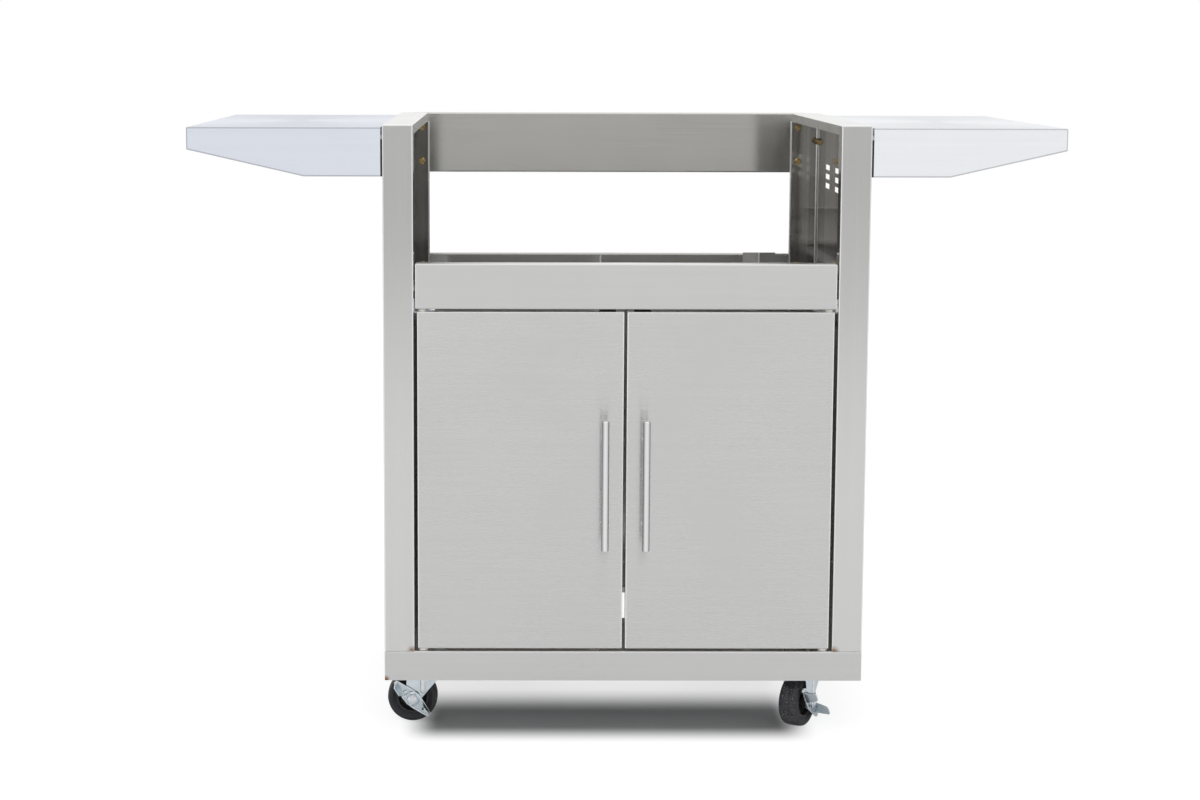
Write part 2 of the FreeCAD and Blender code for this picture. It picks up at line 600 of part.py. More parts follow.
# Doors: a folded skin closed by a flat liner, a bar handle on two posts, flanged bushes on the hinge pins
for word, side in SIDES:
    pivot = (sided(side, PIVOT_X), PIVOT_Y)
    near, far = span(side, "dims.door_centre_gap / 2", DOOR_EDGE)
    door_back = f"({FRONT} + dims.door_thickness)"
    handle_x = sided(side, HANDLE_X)
    post_heights = [f"({HANDLE_Z} + ({end} * dims.handle_post_spacing / 2))" for end in (-1, 1)]
    screw_tip = f"({FRONT} - dims.handle_screw_depth)"

    skin = tray(f"{word}_door_tray", (near, FRONT, DOOR_LOW), (far, door_back, DOOR_HIGH),
                "+y", "dims.door_gauge", "dims.door_bend")
    drilled = [
        rod(f"{word}_bush_hole", (*pivot, f"{height} - {MARGIN}"), "dims.bush_radius", f"2 * {MARGIN}")
        for height in (DOOR_LOW, DOOR_HIGH)
    ]
    drilled += [
        rod(f"{word}_screw_hole", (handle_x, f"{FRONT} - {MARGIN}", height),
            "dims.handle_screw_radius + dims.liner_gap", f"2 * {MARGIN}", "back")
        for height in post_heights
    ]
    keep(f"{word}_door_skin", cut(f"{word}_door_skin", skin, drilled))

    inset = "(dims.door_gauge + dims.liner_gap)"
    keep(f"{word}_door_liner", block(
        f"{word}_door_liner",
        (f"{near} + {inset}", f"{door_back} - dims.door_gauge", f"{DOOR_LOW} + {inset}"),
        (f"{far} - {inset}", door_back, f"{DOOR_HIGH} - {inset}")))

    bar = rod(f"{word}_handle_stock", (handle_x, HANDLE_Y, f"{HANDLE_Z} - dims.handle_length / 2"),
              "dims.handle_radius", "dims.handle_length")
    keep(f"{word}_handle_bar", rounded(
        f"{word}_handle_bar", bar, "dims.handle_end_round",
        lambda box: box.ZLength < DIMENSIONS["handle_end_round"]))

    posts, screws = [], []
    for number, height in enumerate(post_heights, start=1):
        name = f"{word}_handle_post_{number}"
        post = join(f"{name}_solid", [
            rod(f"{name}_stem", (handle_x, HANDLE_Y, height), "dims.handle_post_radius",
                "dims.handle_reach - dims.handle_radius", "back"),
            rod(f"{name}_foot", (handle_x, f"{FRONT} - dims.handle_foot", height), "dims.handle_foot_radius",
                "dims.handle_foot", "back"),
        ])
        thread = rod(f"{name}_thread", (handle_x, screw_tip, height), "dims.handle_screw_radius",
                     "dims.handle_screw_depth", "back")
        posts.append(cut(name, post, [bar, thread]))
        screws.append(join(f"{word}_handle_screw_{number}", [
            rod(f"{name}_shank", (handle_x, screw_tip, height), "dims.handle_screw_radius",
                "dims.handle_screw_depth + dims.door_gauge", "back"),
            rod(f"{name}_head", (handle_x, f"{FRONT} + dims.door_gauge", height),
                "dims.handle_screw_head_radius", "dims.handle_screw_head", "back"),
        ]))
    keep(f"{word}_handle_posts", group(f"{word}_handle_posts", posts))
    keep(f"{word}_handle_screws", group(f"{word}_handle_screws", screws))

    bushes = []
    for name, height, collar, inwards in (
            (f"{word}_lower_bush", DOOR_LOW, "dims.door_bottom_gap - dims.bush_clearance", "up"),
            (f"{word}_upper_bush", DOOR_HIGH, "dims.door_top_gap - dims.bush_clearance", "down")):
        outwards = "down" if inwards == "up" else "up"
        sleeve = join(f"{name}_solid", [
            rod(f"{name}_sleeve", (*pivot, height), "dims.bush_radius", "dims.pin_engagement", inwards),
            rod(f"{name}_collar", (*pivot, height), "dims.bush_collar_radius", collar, outwards),
        ])
        through = rod(f"{name}_bore", (*pivot, f"{height} - 4 * {MARGIN}"), "dims.pin_radius + dims.pin_fit",
                      f"8 * {MARGIN}")
        bushes.append(cut(name, sleeve, [through]))
    keep(f"{word}_hinge_bushes", group(f"{word}_hinge_bushes", bushes))

    strike_span = ("dims.catch_offset - dims.catch_width / 2", "dims.catch_offset + dims.catch_width / 2")
    keep(f"{word}_strike_plate", side_block(
        f"{word}_strike_plate", side, strike_span, (door_back, f"{door_back} + dims.strike_gauge"),
        (f"{DOOR_HIGH} - dims.catch_height", f"{DOOR_HIGH} - dims.door_bend")))

# Shelves: a folded leaf with tapered skirts, open towards the cart, on studs in two bolted brackets
for word, side in SIDES:
    node = f"{word}_shelf_leaf"
    tip_z = f"({SHELF_TOP} - dims.shelf_tip)"
    corners = [(SHELF_NEAR, SHELF_TOP), (SHELF_FAR, SHELF_TOP), (SHELF_FAR, tip_z),
               (f"{SHELF_NEAR} + dims.shelf_flat", SHELF_LOW), (SHELF_NEAR, SHELF_LOW)]
    profile = [(sided(side, x), z) for x, z in corners]
    blank = padded_body(f"{node}_blank", "XZ_Plane", profile, "dims.panel_depth")
    far_x, top_z = side * size_of(SHELF_FAR), size_of(SHELF_TOP)

    def folded(box):
        at_tip = lies_at(box.XMin, box.XMax, far_x)
        along_top = lies_at(box.ZMin, box.ZMax, top_z) and (box.XLength > 1 or at_tip)
        return along_top or (at_tip and box.ZLength > 1)

    soften(blank, f"{node}_folds", "dims.bend", folded)
    place(blank, ("0", MIDDLE, "0"))
    skirts = (f"{FRONT} + dims.gauge", f"{REAR} - dims.gauge")
    under = side_block(
        f"{node}_under", side, (f"{SHELF_NEAR} + dims.gauge", f"{SHELF_FAR} - dims.gauge"), skirts,
        (f"{SHELF_LOW} - {MARGIN}", f"{SHELF_TOP} - dims.gauge"))
    throat = side_block(
        f"{node}_throat", side, (f"{SHELF_NEAR} - {MARGIN}", f"{SHELF_NEAR} + {MARGIN}"), skirts,
        (f"{SHELF_LOW} - {MARGIN}", f"{SHELF_TOP} - dims.shelf_lip"))
    keep(node, cut(node, blank, [under, throat]))

    stiff_near = f"({SHELF_NEAR} + dims.shelf_length / 2 - dims.stiffener_width / 2)"
    stiff_far = f"({stiff_near} + dims.stiffener_width)"
    stiff_top = f"({SHELF_TOP} - dims.gauge)"
    stiff_low = f"({stiff_top} - dims.stiffener_height)"
    stiff_y = (f"{FRONT} + dims.stiffener_margin", f"{REAR} - dims.stiffener_margin")
    hat = side_block(f"{word}_stiffener_hat", side, (stiff_near, stiff_far), stiff_y, (stiff_low, stiff_top))
    groove = side_block(
        f"{word}_stiffener_groove", side, (f"{stiff_near} + dims.gauge", f"{stiff_far} - dims.gauge"),
        (FRONT, REAR), (f"{stiff_low} + dims.gauge", f"{stiff_top} + {MARGIN}"))
    keep(f"{word}_shelf_stiffener", cut(f"{word}_shelf_stiffener", hat, [groove]))

    studs, brackets = [], []
    pivot_x = sided(side, SHELF_PIVOT_X)
    for end, skirt_face, inwards in (("front", skirts[0], "back"), ("rear", skirts[1], "front")):
        name = f"{word}_{end}_bracket"
        sign = "+" if end == "front" else "-"
        ear_near = f"({skirt_face} {sign} dims.washer_gauge)"
        ear_far = f"({ear_near} {sign} dims.bracket_gauge)"
        nut_seat = f"({ear_far} {sign} dims.pin_fit)"
        stud_length = "dims.washer_gauge + dims.bracket_gauge + dims.stud_nut + dims.bolt_tail"
        studs.append(join(f"{word}_{end}_stud", [
            rod(f"{name}_stud", (pivot_x, skirt_face, SHELF_PIVOT_Z), "dims.stud_radius",
                stud_length, inwards),
            rod(f"{name}_washer", (pivot_x, skirt_face, SHELF_PIVOT_Z), "dims.stud_nut_radius",
                "dims.washer_gauge - dims.pin_fit", inwards),
            hexagon(f"{name}_nut", (pivot_x, nut_seat, SHELF_PIVOT_Z), "dims.stud_nut_radius",
                    "dims.stud_nut", inwards),
        ]))
        ear_y = (ear_near, ear_far) if end == "front" else (ear_far, ear_near)
        plate_end = f"({ear_near} {sign} dims.bracket_depth)"
        plate_y = (ear_near, plate_end) if end == "front" else (plate_end, ear_near)
        plate_low = f"({SHELF_PIVOT_Z} - dims.shelf_pivot_up)"
        plate = side_block(
            f"{name}_plate", side, (HALF, f"{HALF} + dims.bracket_gauge"), plate_y,
            (plate_low, f"{plate_low} + dims.bracket_height"))
        arm = side_block(
            f"{name}_arm", side, (HALF, SHELF_PIVOT_X), ear_y,
            (plate_low, f"{SHELF_PIVOT_Z} + dims.ear_radius"))
        nose = rod(f"{name}_nose", (pivot_x, ear_near, SHELF_PIVOT_Z), "dims.ear_radius",
                   "dims.bracket_gauge", inwards)
        eye = rod(f"{name}_eye", (pivot_x, skirt_face, SHELF_PIVOT_Z), "dims.stud_radius + dims.stud_fit",
                  f"2 * {MARGIN}", inwards)
        brackets.append(cut(name, join(f"{name}_solid", [plate, arm, nose]), [eye]))
    pair = group(f"{word}_bracket_pair", brackets)
    keep(f"{word}_shelf_pivots", group(f"{word}_shelf_pivots", studs))
    keep(f"{word}_shelf_brackets", cut(
        f"{word}_shelf_brackets", pair, joint_bores(f"{word}_shelf", ["bracket"], (side,))))

bracket_seats = [seat for word, side in SIDES for seat in bolt_seats("bracket", side)]
keep("shelf_bracket_bolts", group(
    "shelf_bracket_bolts", seated("bracket_bolt", bolt("bracket_bolt", GRIPS["bracket"]), bracket_seats)))

# Casters, each piece made once in the caster's own frame: the swivel axis is upright through the origin
# and the wheel trails towards +X.
AXLE = ("dims.trail", "0", "dims.wheel_radius")
plate_blank = rounded(
    "plate_cornered",
    block("plate_blank", ("-dims.plate_length / 2", "-dims.plate_width / 2", PLATE_LOW),
          ("dims.plate_length / 2", "dims.plate_width / 2", "dims.channel_bottom")),
    "dims.plate_corner", lambda box: box.ZLength > 1)
race = rod("plate_race", ("0", "0", PLATE_LOW), "dims.race_radius", "dims.race_depth", "down")
race_bore = rod("plate_race_bore", ("0", "0", PLATE_LOW), "dims.race_bore", f"2 * {MARGIN}", "down")
race_ring = cut("plate_race_ring", race, [race_bore])
kingpin_hole = rod("plate_kingpin_hole", ("0", "0", CROWN_LOW), "dims.kingpin_radius", "dims.channel_bottom")
plate_holes = bores(
    "plate_bolt",
    [((f"{x_sign} * dims.plate_hole_x", f"{y_sign} * dims.plate_hole_y", PLATE_LOW), "down")
     for x_sign in (-1, 1) for y_sign in (-1, 1)], CASTER_GRIP)
plate = cut("plate", join("plate_raced", [plate_blank, race_ring]), [kingpin_hole] + plate_holes)
kingpin_seat = f"({CROWN_LOW} - dims.race_gap)"
kingpin = join("kingpin", [
    rod("kingpin_shank", ("0", "0", kingpin_seat), "dims.kingpin_radius",
        f"dims.channel_bottom - {kingpin_seat}"),
    rod("kingpin_head", ("0", "0", kingpin_seat), "dims.kingpin_head_radius", "dims.kingpin_head", "down"),
])

BOSS_LOW = "(dims.wheel_radius - dims.fork_boss)"
BOSS_FRONT = "(dims.trail + dims.fork_boss)"
BOSS_BACK_SHARE = 0.6
BOSS_ROUND_SHARE = 0.8
BOSS_BACK = f"(dims.trail - {BOSS_BACK_SHARE} * dims.fork_boss)"
fork_blank = padded_body("fork_blank", "XZ_Plane", [
    ("-dims.crown_back", CROWN_TOP), ("dims.crown_front", CROWN_TOP), (BOSS_FRONT, "dims.wheel_radius"),
    (BOSS_FRONT, BOSS_LOW), (BOSS_BACK, BOSS_LOW), ("-dims.crown_back", f"{CROWN_TOP} - dims.crown_skirt"),
], f"2 * {FORK_HALF}")
boss_z, crown_z = size_of(BOSS_LOW), size_of(CROWN_TOP)
soften(fork_blank, "fork_boss_round", f"{BOSS_ROUND_SHARE} * dims.fork_boss",
       lambda box: lies_at(box.ZMin, box.ZMax, boss_z) and box.XLength < 1)
soften(fork_blank, "fork_crown_bend", "dims.fork_bend",
       lambda box: lies_at(box.ZMin, box.ZMax, crown_z) and box.YLength < 1)
wheel_slot = block("fork_slot", ("-2 * dims.wheel_radius", "-dims.fork_gap / 2", "0"),
                   ("3 * dims.wheel_radius", "dims.fork_gap / 2", CROWN_LOW))
crown_race = rod("fork_race", ("0", "0", f"{CROWN_TOP} - dims.race_gap"), "dims.crown_back",
                 "dims.crown_race + dims.race_gap")
crown_hole = rod("fork_kingpin_hole", ("0", "0", "dims.wheel_radius"),
                 "dims.kingpin_radius + dims.kingpin_fit", "2 * dims.wheel_radius")
axle_hole = rod("fork_axle_hole", ("dims.trail", f"-{FORK_HALF} - {MARGIN}", "dims.wheel_radius"),
                "dims.axle_radius", f"2 * ({FORK_HALF} + {MARGIN})", "back")
fork = cut("fork", join("fork_raced", [cut("fork_slotted", fork_blank, [wheel_slot]), crown_race]),
           [crown_hole, axle_hole])

tyre = turned_body("tyre", [
    ("dims.rim_radius", "-dims.rim_width / 2"),
    ("dims.rim_radius + dims.rim_wall", "-dims.wheel_width / 2"),
    ("dims.wheel_radius - dims.tread_shoulder", "-dims.wheel_width / 2"),
    ("dims.wheel_radius", "-dims.tread_flat / 2"),
    ("dims.wheel_radius", "dims.tread_flat / 2"),
    ("dims.wheel_radius - dims.tread_shoulder", "dims.wheel_width / 2"),
    ("dims.rim_radius + dims.rim_wall", "dims.wheel_width / 2"),
    ("dims.rim_radius", "dims.rim_width / 2"),
])
soften(tyre, "tyre_shoulders", "dims.tread_shoulder / 2",
       lambda box: box.YLength < 0.01 and box.XLength > 2 * size_of("dims.rim_radius + dims.rim_wall") + 1)
RIM_INSIDE = "(dims.rim_radius - dims.rim_wall)"
HUB_BORE = "dims.axle_radius + dims.axle_fit"
hub = turned_body("hub", [
    (HUB_BORE, "-dims.boss_width / 2"), ("dims.boss_radius", "-dims.boss_width / 2"),
    ("dims.boss_radius", "-dims.web_width / 2"), (RIM_INSIDE, "-dims.web_width / 2"),
    (RIM_INSIDE, "-dims.rim_width / 2"), ("dims.rim_radius", "-dims.rim_width / 2"),
    ("dims.rim_radius", "dims.rim_width / 2"), (RIM_INSIDE, "dims.rim_width / 2"),
    (RIM_INSIDE, "dims.web_width / 2"), ("dims.boss_radius", "dims.web_width / 2"),
    ("dims.boss_radius", "dims.boss_width / 2"), (HUB_BORE, "dims.boss_width / 2"),
])
for item in (tyre, hub):
    place(item, AXLE)


def axle_bolt(name, nut_seat, collar):
    """The wheel's axle: a bolt through both fork legs, with its nut past any collar for a brake lever."""
    head_seat = ("dims.trail", f"-{FORK_HALF}", "dims.wheel_radius")
    shank_length = f"{FORK_HALF} + {nut_seat} + dims.stud_nut + dims.bolt_tail"
    pieces = [
        rod(f"{name}_shank", head_seat, "dims.axle_radius", shank_length, "back"),
        hexagon(f"{name}_head", head_seat, "dims.stud_nut_radius", "dims.axle_head", "front"),
        hexagon(f"{name}_nut", ("dims.trail", nut_seat, "dims.wheel_radius"), "dims.stud_nut_radius",
                "dims.stud_nut", "back"),
    ]
    if collar:
        pieces.append(rod(f"{name}_collar", ("dims.trail", FORK_HALF, "dims.wheel_radius"),
                          "dims.collar_radius", f"{nut_seat} - {FORK_HALF}", "back"))
    return join(name, pieces)


plain_axle = axle_bolt("plain_axle", FORK_HALF, collar=False)
braked_axle = axle_bolt("braked_axle", f"({LEVER_FAR} + dims.lever_play)", collar=True)

# Brake lever: a stamped plate that rocks on the axle's collar, with a foot tab folded out at each end
half_length = "(dims.lever_length / 2)"
half_width = "(dims.lever_width / 2)"
half_end = "(dims.lever_end / 2)"
TAB_START = 12
lever_outline = [
    (f"-{half_length}", f"-{half_end}"), ("0", f"-{half_width}"), (half_length, f"-{half_end}"),
    (half_length, half_end), ("0", half_width), (f"-{half_length}", half_end),
]
lever_plate = padded_body("lever_plate", "XZ_Plane", lever_outline, "dims.lever_gauge")
soften(lever_plate, "lever_waist", "dims.lever_width",
       lambda box: box.YLength > 1 and abs(box.XMin) < 1)
soften(lever_plate, "lever_ends", "dims.lever_end / 3",
       lambda box: box.YLength > 1 and box.XLength < 0.01 and abs(box.XMin) > size_of(half_length) - 1)
place(lever_plate, ("0", f"{LEVER_NEAR} + dims.lever_gauge / 2", "0"))
EDGE_SLOPE = f"(({half_width} - {half_end}) / {half_length})"
tab_start_z = f"({half_width} - {TAB_START} * {EDGE_SLOPE})"
tab_end_x = f"({half_length} - dims.lever_end / 3)"
tab_end_z = f"({half_width} - {tab_end_x} * {EDGE_SLOPE})"
tabs = []
for number, sign in enumerate(("-", ""), start=1):
    turned = "" if sign == "-" else "-"
    tab = padded_body(f"lever_tab_{number}", "XZ_Plane", [
        (f"{sign}{TAB_START}", f"{turned}({tab_start_z} - dims.lever_gauge)"),
        (f"{sign}{tab_end_x}", f"{turned}({tab_end_z} - dims.lever_gauge)"),
        (f"{sign}{tab_end_x}", f"{turned}{tab_end_z}"),
        (f"{sign}{TAB_START}", f"{turned}{tab_start_z}"),
    ], "dims.lever_tab")
    tabs.append(place(tab, ("0", f"{LEVER_NEAR} + dims.lever_tab / 2", "0")))
lever_eye = rod("lever_eye", ("0", "0", "0"), "dims.collar_radius + dims.collar_fit",
                f"{LEVER_FAR} + {MARGIN}", "back")
lever = cut("lever", join("lever_solid", [lever_plate] + tabs), [lever_eye])
lever.Placement = FreeCAD.Placement(
    FreeCAD.Vector(), FreeCAD.Rotation(FreeCAD.Vector(0, 1, 0), -DIMENSIONS["lever_tilt"]))
for axis, expression in zip("xyz", AXLE):
    lever.setExpression(f"Placement.Base.{axis}", expression)


def at_corner(node, pieces, row, side, heading):
    """Puts caster pieces under one corner of the cart, turned to the caster's heading."""
    item = group(node, pieces)
    place(item, (sided(side, CASTER_X), CASTER_ROWS[row], "0"))
    item.Placement = FreeCAD.Placement(
        item.Placement.Base, FreeCAD.Rotation(FreeCAD.Vector(0, 0, 1), size_of(heading)))
    item.setExpression("Placement.Rotation.Angle", heading)
    return keep(node, item)


for row in CASTER_ROWS:
    for word, side in SIDES:
        corner = f"{row}_{word}"
        heading = f"dims.{corner}_heading"
        braked = row == "front"
        at_corner(f"{corner}_caster_plate", [plate, kingpin], row, side, "0")
        at_corner(f"{corner}_fork", [fork], row, side, heading)
        at_corner(f"{corner}_axle", [braked_axle if braked else plain_axle], row, side, heading)
        at_corner(f"{corner}_tyre", [tyre], row, side, heading)
        at_corner(f"{corner}_hub", [hub], row, side, heading)
        if braked:
            at_corner(f"{corner}_brake_lever", [lever], row, side, heading)
keep("caster_bolts", group(
    "caster_bolts", seated("caster_bolt", bolt("caster_bolt", CASTER_GRIP), caster_bolt_seats())))

doc.recompute()
for item in doc.Objects:
    faults = {"Invalid", "Error"} & set(item.State)
    if faults:
        raise RuntimeError(f"{item.Label}: {item.State}")
for node, item in nodes.items():
    if item.Shape.isNull() or not item.Shape.isValid() or not item.Shape.Solids:
        raise RuntimeError(f"{node} has no valid solid")

os.makedirs("parts", exist_ok=True)
for node, item in nodes.items():
    item.Shape.exportStep(f"parts/{node}.step")
print(f"{len(nodes)} nodes written")
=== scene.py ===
"""A stainless cart for a drop-in pizza oven, dressed piece by piece in the order it is put together.

Metres, +X to the right of someone facing the doors, +Y to the back, +Z up, the floor at zero.
"""
import bmesh
import bpy
import math
from mathutils import Matrix, Vector


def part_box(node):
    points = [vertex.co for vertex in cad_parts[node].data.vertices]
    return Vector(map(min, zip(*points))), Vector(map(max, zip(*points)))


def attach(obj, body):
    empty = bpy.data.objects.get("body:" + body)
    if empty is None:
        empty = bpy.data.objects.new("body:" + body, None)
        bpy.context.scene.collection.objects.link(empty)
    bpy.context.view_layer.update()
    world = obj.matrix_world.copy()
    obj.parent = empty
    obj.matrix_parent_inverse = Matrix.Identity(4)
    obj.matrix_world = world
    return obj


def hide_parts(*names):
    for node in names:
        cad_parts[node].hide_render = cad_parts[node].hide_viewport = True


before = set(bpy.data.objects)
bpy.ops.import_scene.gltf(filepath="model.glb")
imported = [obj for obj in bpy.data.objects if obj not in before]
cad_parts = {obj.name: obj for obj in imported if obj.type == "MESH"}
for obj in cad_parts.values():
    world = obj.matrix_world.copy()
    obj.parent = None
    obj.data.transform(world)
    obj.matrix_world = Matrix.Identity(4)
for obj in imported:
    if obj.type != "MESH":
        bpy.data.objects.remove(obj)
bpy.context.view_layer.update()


# Base pan: an upside-down tray of brushed stainless sheet, folded down at its edges, welded at the corners.
# The brushing runs along the cart, and the weld of the front left corner has left a little brown tint.
class Value:
    """A socket of a finish; arithmetic on it adds Math nodes."""

    def __init__(self, finish, socket):
        self.finish = finish
        self.socket = socket

    def maths(self, operation, first, second):
        return self.finish.node("ShaderNodeMath", {"operation": operation}, {0: first, 1: second})

    def __add__(self, other):
        return self.maths("ADD", self, other)

    def __sub__(self, other):
        return self.maths("SUBTRACT", self, other)

    def __rsub__(self, other):
        return self.maths("SUBTRACT", other, self)

    def __mul__(self, other):
        return self.maths("MULTIPLY", self, other)

    def __pow__(self, power):
        return self.maths("POWER", self, power)

    def __abs__(self):
        return self.maths("ABSOLUTE", self, 0)

    __radd__ = __add__
    __rmul__ = __mul__


class Finish:
    """One surface finish, built node by node over the piece's own place in metres."""

    def __init__(self, tree):
        tree.nodes.clear()
        self.tree = tree

    def node(self, kind, settings, inputs, output=0):
        """Adds a node: its type, its settings, then the values or links of its sockets."""
        made = self.tree.nodes.new(kind)
        for setting, value in settings.items():
            setattr(made, setting, value)
        for socket, value in inputs.items():
            if isinstance(value, Value):
                self.tree.links.new(value.socket, made.inputs[socket])
            else:
                made.inputs[socket].default_value = value
        return Value(self, made.outputs[output]) if made.outputs else None

    def place(self):
        return self.node("ShaderNodeTexCoord", {}, {}, "Object")

    def axis(self, letter):
        return self.node("ShaderNodeSeparateXYZ", {}, {0: self.place()}, letter)

    def cloud(self, fineness, detail=2.0):
        """Noise from 0 to 1, with a fineness per metre along each axis."""
        stretched = self.node("ShaderNodeVectorMath", {"operation": "MULTIPLY"},
                              {0: self.place(), 1: fineness})
        return self.node("ShaderNodeTexNoise", {}, {"Vector": stretched, "Scale": 1.0, "Detail": detail})

    def ramp(self, value, low, high):
        """0 below one value and 1 above another, smooth between them."""
        return self.node("ShaderNodeMapRange", {"interpolation_type": "SMOOTHSTEP"},
                         {"Value": value, "From Min": low, "From Max": high})

    def near(self, point, reach):
        """1 at a point, fading to 0 at a reach from it."""
        away = self.node("ShaderNodeVectorMath", {"operation": "DISTANCE"},
                         {0: self.place(), 1: point}, "Value")
        return 1 - self.ramp(away, 0.0, reach)

    def blend(self, amount, first, second):
        """A colour between two colours."""
        return self.node("ShaderNodeMix", {"data_type": "RGBA"}, {0: amount, 6: first, 7: second}, 2)

    def surface(self, sockets, relief, depth):
        """Closes the finish with its shader and a relief of a given depth."""
        bump = self.node("ShaderNodeBump", {}, {"Height": relief, "Distance": depth})
        shader = self.node("ShaderNodeBsdfPrincipled", {}, {**sockets, "Normal": bump})
        self.node("ShaderNodeOutputMaterial", {}, {"Surface": shader})


def new_finish(name):
    """An empty finish and the material that will carry it."""
    material = bpy.data.materials.new(name)
    material.use_nodes = True
    return Finish(material.node_tree), material


def toned(tone, factor):
    """A tone made lighter or darker."""
    return (*(part * factor for part in tone), 1.0)


ALONG_CART = (7, 900, 900)
UPRIGHT = (900, 900, 7)
HEAT_BROWN = (0.27, 0.13, 0.04, 1.0)
WARM_MILL = (0.90, 0.87, 0.82)
PAINTED_HIGHLIGHT = (0.98, 0.98, 0.98, 1.0)
HAIR_DEPTH = 0.000026


def brushed_steel(name, tone, gloss, grain, heat_marks=(), mirrored=None, mill=0.66, drag=1.0, metal=1.0,
                  shaded=None, highlighted=None):
    """Brushed stainless sheet: single hairs, broader strokes and faint patches from rolling and handling.

    heat_marks are points with a reach and a strength; mirrored(finish) masks the faces left bright from the
    mill, which take a warm colour painted darker, as shade where they lie in a recess, and mill is how dark
    they and their draw lines are painted; drag is how far the brushing smears a reflection across the grain;
    of the last two masks, one picks the lines and faces painted darker as shade, and the other the lines
    given a painted highlight.
    """
    finish, material = new_finish(name)
    hairs = finish.cloud(grain, 3.0)
    strokes = finish.cloud([fineness / 7 for fineness in grain], 2.0)
    patches = finish.cloud((6, 6, 6), 3.0)
    worked = (hairs - 0.5) * 0.42 + (strokes - 0.5) * 0.40 + (patches - 0.5) * 0.5 + 0.5
    colour = finish.blend(worked, toned(tone, 0.94), toned(tone, 1.05))
    roughness = (1 + (hairs - 0.5) * 0.3 + (patches - 0.5) * 0.3) * gloss
    relief = hairs
    metallic = metal
    if mirrored:
        bright = mirrored(finish)
        drawn = finish.ramp(finish.cloud([fineness / 16 for fineness in grain], 3.0), 0.3, 0.7)
        # Painted shade: the mill-bright faces take a warm colour, as dark as the mill value sets.
        mill_shaded_colour = finish.blend(drawn, toned(WARM_MILL, mill * mill), toned(WARM_MILL, mill))
        colour = finish.blend(bright, colour, mill_shaded_colour)
        roughness = roughness * (1 - bright) + bright * (drawn * 0.07 + 0.02)
        relief = hairs * (1 - bright * 0.9)
        metallic = metal - bright * 0.18
    if shaded:
        # Painted shade: darker along the masked lines and faces.
        colour = finish.blend(shaded(finish), colour, toned(tone, 0.62))
    if highlighted:
        highlight = highlighted(finish)
        # Painted highlight: near white, with less metal, along the masked lines.
        colour = finish.blend(highlight, colour, PAINTED_HIGHLIGHT)
        metallic = metallic - highlight * 0.9
    for point, reach, strength in heat_marks:
        stain = finish.near(point, reach) * finish.cloud((300, 300, 300), 3.0) * strength
        colour = finish.blend(stain, colour, HEAT_BROWN)
    finish.surface(
        {"Base Color": colour, "Metallic": metallic, "Roughness": roughness, "Anisotropic": drag,
         "Anisotropic Rotation": 0.25 if grain == ALONG_CART else 0.0}, relief, HAIR_DEPTH)
    return material


def dress(node, material):
    """Gives a CAD node its finish."""
    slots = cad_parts[node].data.materials
    slots.clear()
    slots.append(material)


FRONT_TONE = (0.76, 0.76, 0.755)
base_low, base_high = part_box("base_pan")


def floor_of_cabinet(finish):
    """The flat top of the base pan."""
    return finish.ramp(finish.axis("Z"), base_high.z - 0.0004, base_high.z - 0.0001)


WELD_TINT = (base_low, 0.010, 2.8)
dress("base_pan", brushed_steel("base_brushed_steel", FRONT_TONE, 0.30, ALONG_CART, [WELD_TINT],
                                floor_of_cabinet, mill=0.9))


# Base channels: two folded channels of galvanised steel, welded under the base pan to carry the casters.
# The zinc is bright and bluish, with a faint spangle and dull patches.
def plated_zinc(name, tone, gloss):
    """Bright zinc over pressed steel: a fine spangle, dull patches and small handling marks."""
    finish, material = new_finish(name)
    spangle = finish.node("ShaderNodeTexVoronoi", {}, {"Vector": finish.place(), "Scale": 420.0}, "Color")
    grey_spangle = finish.node("ShaderNodeSeparateXYZ", {}, {0: spangle}, "X")
    dull = finish.cloud((90, 90, 90), 4.0)
    marks = finish.ramp(finish.cloud((700, 700, 700), 2.0), 0.62, 0.75)
    colour = finish.blend(grey_spangle * 0.2 + dull * 0.8, toned(tone, 0.82), toned(tone, 1.10))
    colour = finish.blend(marks * 0.3, colour, toned(tone, 0.6))
    roughness = (dull - 0.5) * 0.16 + (grey_spangle - 0.5) * 0.05 + gloss
    finish.surface({"Base Color": colour, "Metallic": 1.0, "Roughness": roughness}, dull, 0.00006)
    return material


zinc = plated_zinc("bright_zinc", (0.67, 0.75, 0.80), 0.17)
dress("base_channels", zinc)


# Caster plates: a pressed zinc top plate with a raised ball race under it and a headed kingpin in its middle.
# Each is bolted to a base channel by its four corners.
MM = 0.001
SMOOTH_BELOW = math.radians(32)


def piece(name, shape, material, body, at=Matrix()):
    """A finished mesh that rides on a body; flat faces stay crisp and gentle ones are smooth."""
    bmesh.ops.remove_doubles(shape, verts=shape.verts, dist=1e-6)
    bmesh.ops.recalc_face_normals(shape, faces=shape.faces)
    for edge in shape.edges:
        edge.smooth = edge.calc_face_angle(0.0) < SMOOTH_BELOW
    for face in shape.faces:
        face.smooth = True
    mesh = bpy.data.meshes.new(name)
    shape.to_mesh(mesh)
    shape.free()
    mesh.materials.append(material)
    made = bpy.data.objects.new(name, mesh)
    made.matrix_world = at
    bpy.context.scene.collection.objects.link(made)
    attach(made, body)
    return made


def corner_of(shape, at, x, y, z):
    """Adds one point of a mesh, in millimetres of its own frame."""
    return shape.verts.new(at @ (Vector((x, y, z)) * MM))


def skinned(shape, rings, bored=False):
    """Closes rings of points to a solid form: walls between them, and lids unless it is a bored ring."""
    pairs = list(zip(rings, rings[1:]))
    if bored:
        pairs.append((rings[-1], rings[0]))
    else:
        shape.faces.new(rings[0])
        shape.faces.new(rings[-1])
    for ring, following in pairs:
        for step in range(len(ring)):
            beside = (step + 1) % len(ring)
            shape.faces.new((ring[step], ring[beside], following[beside], following[step]))


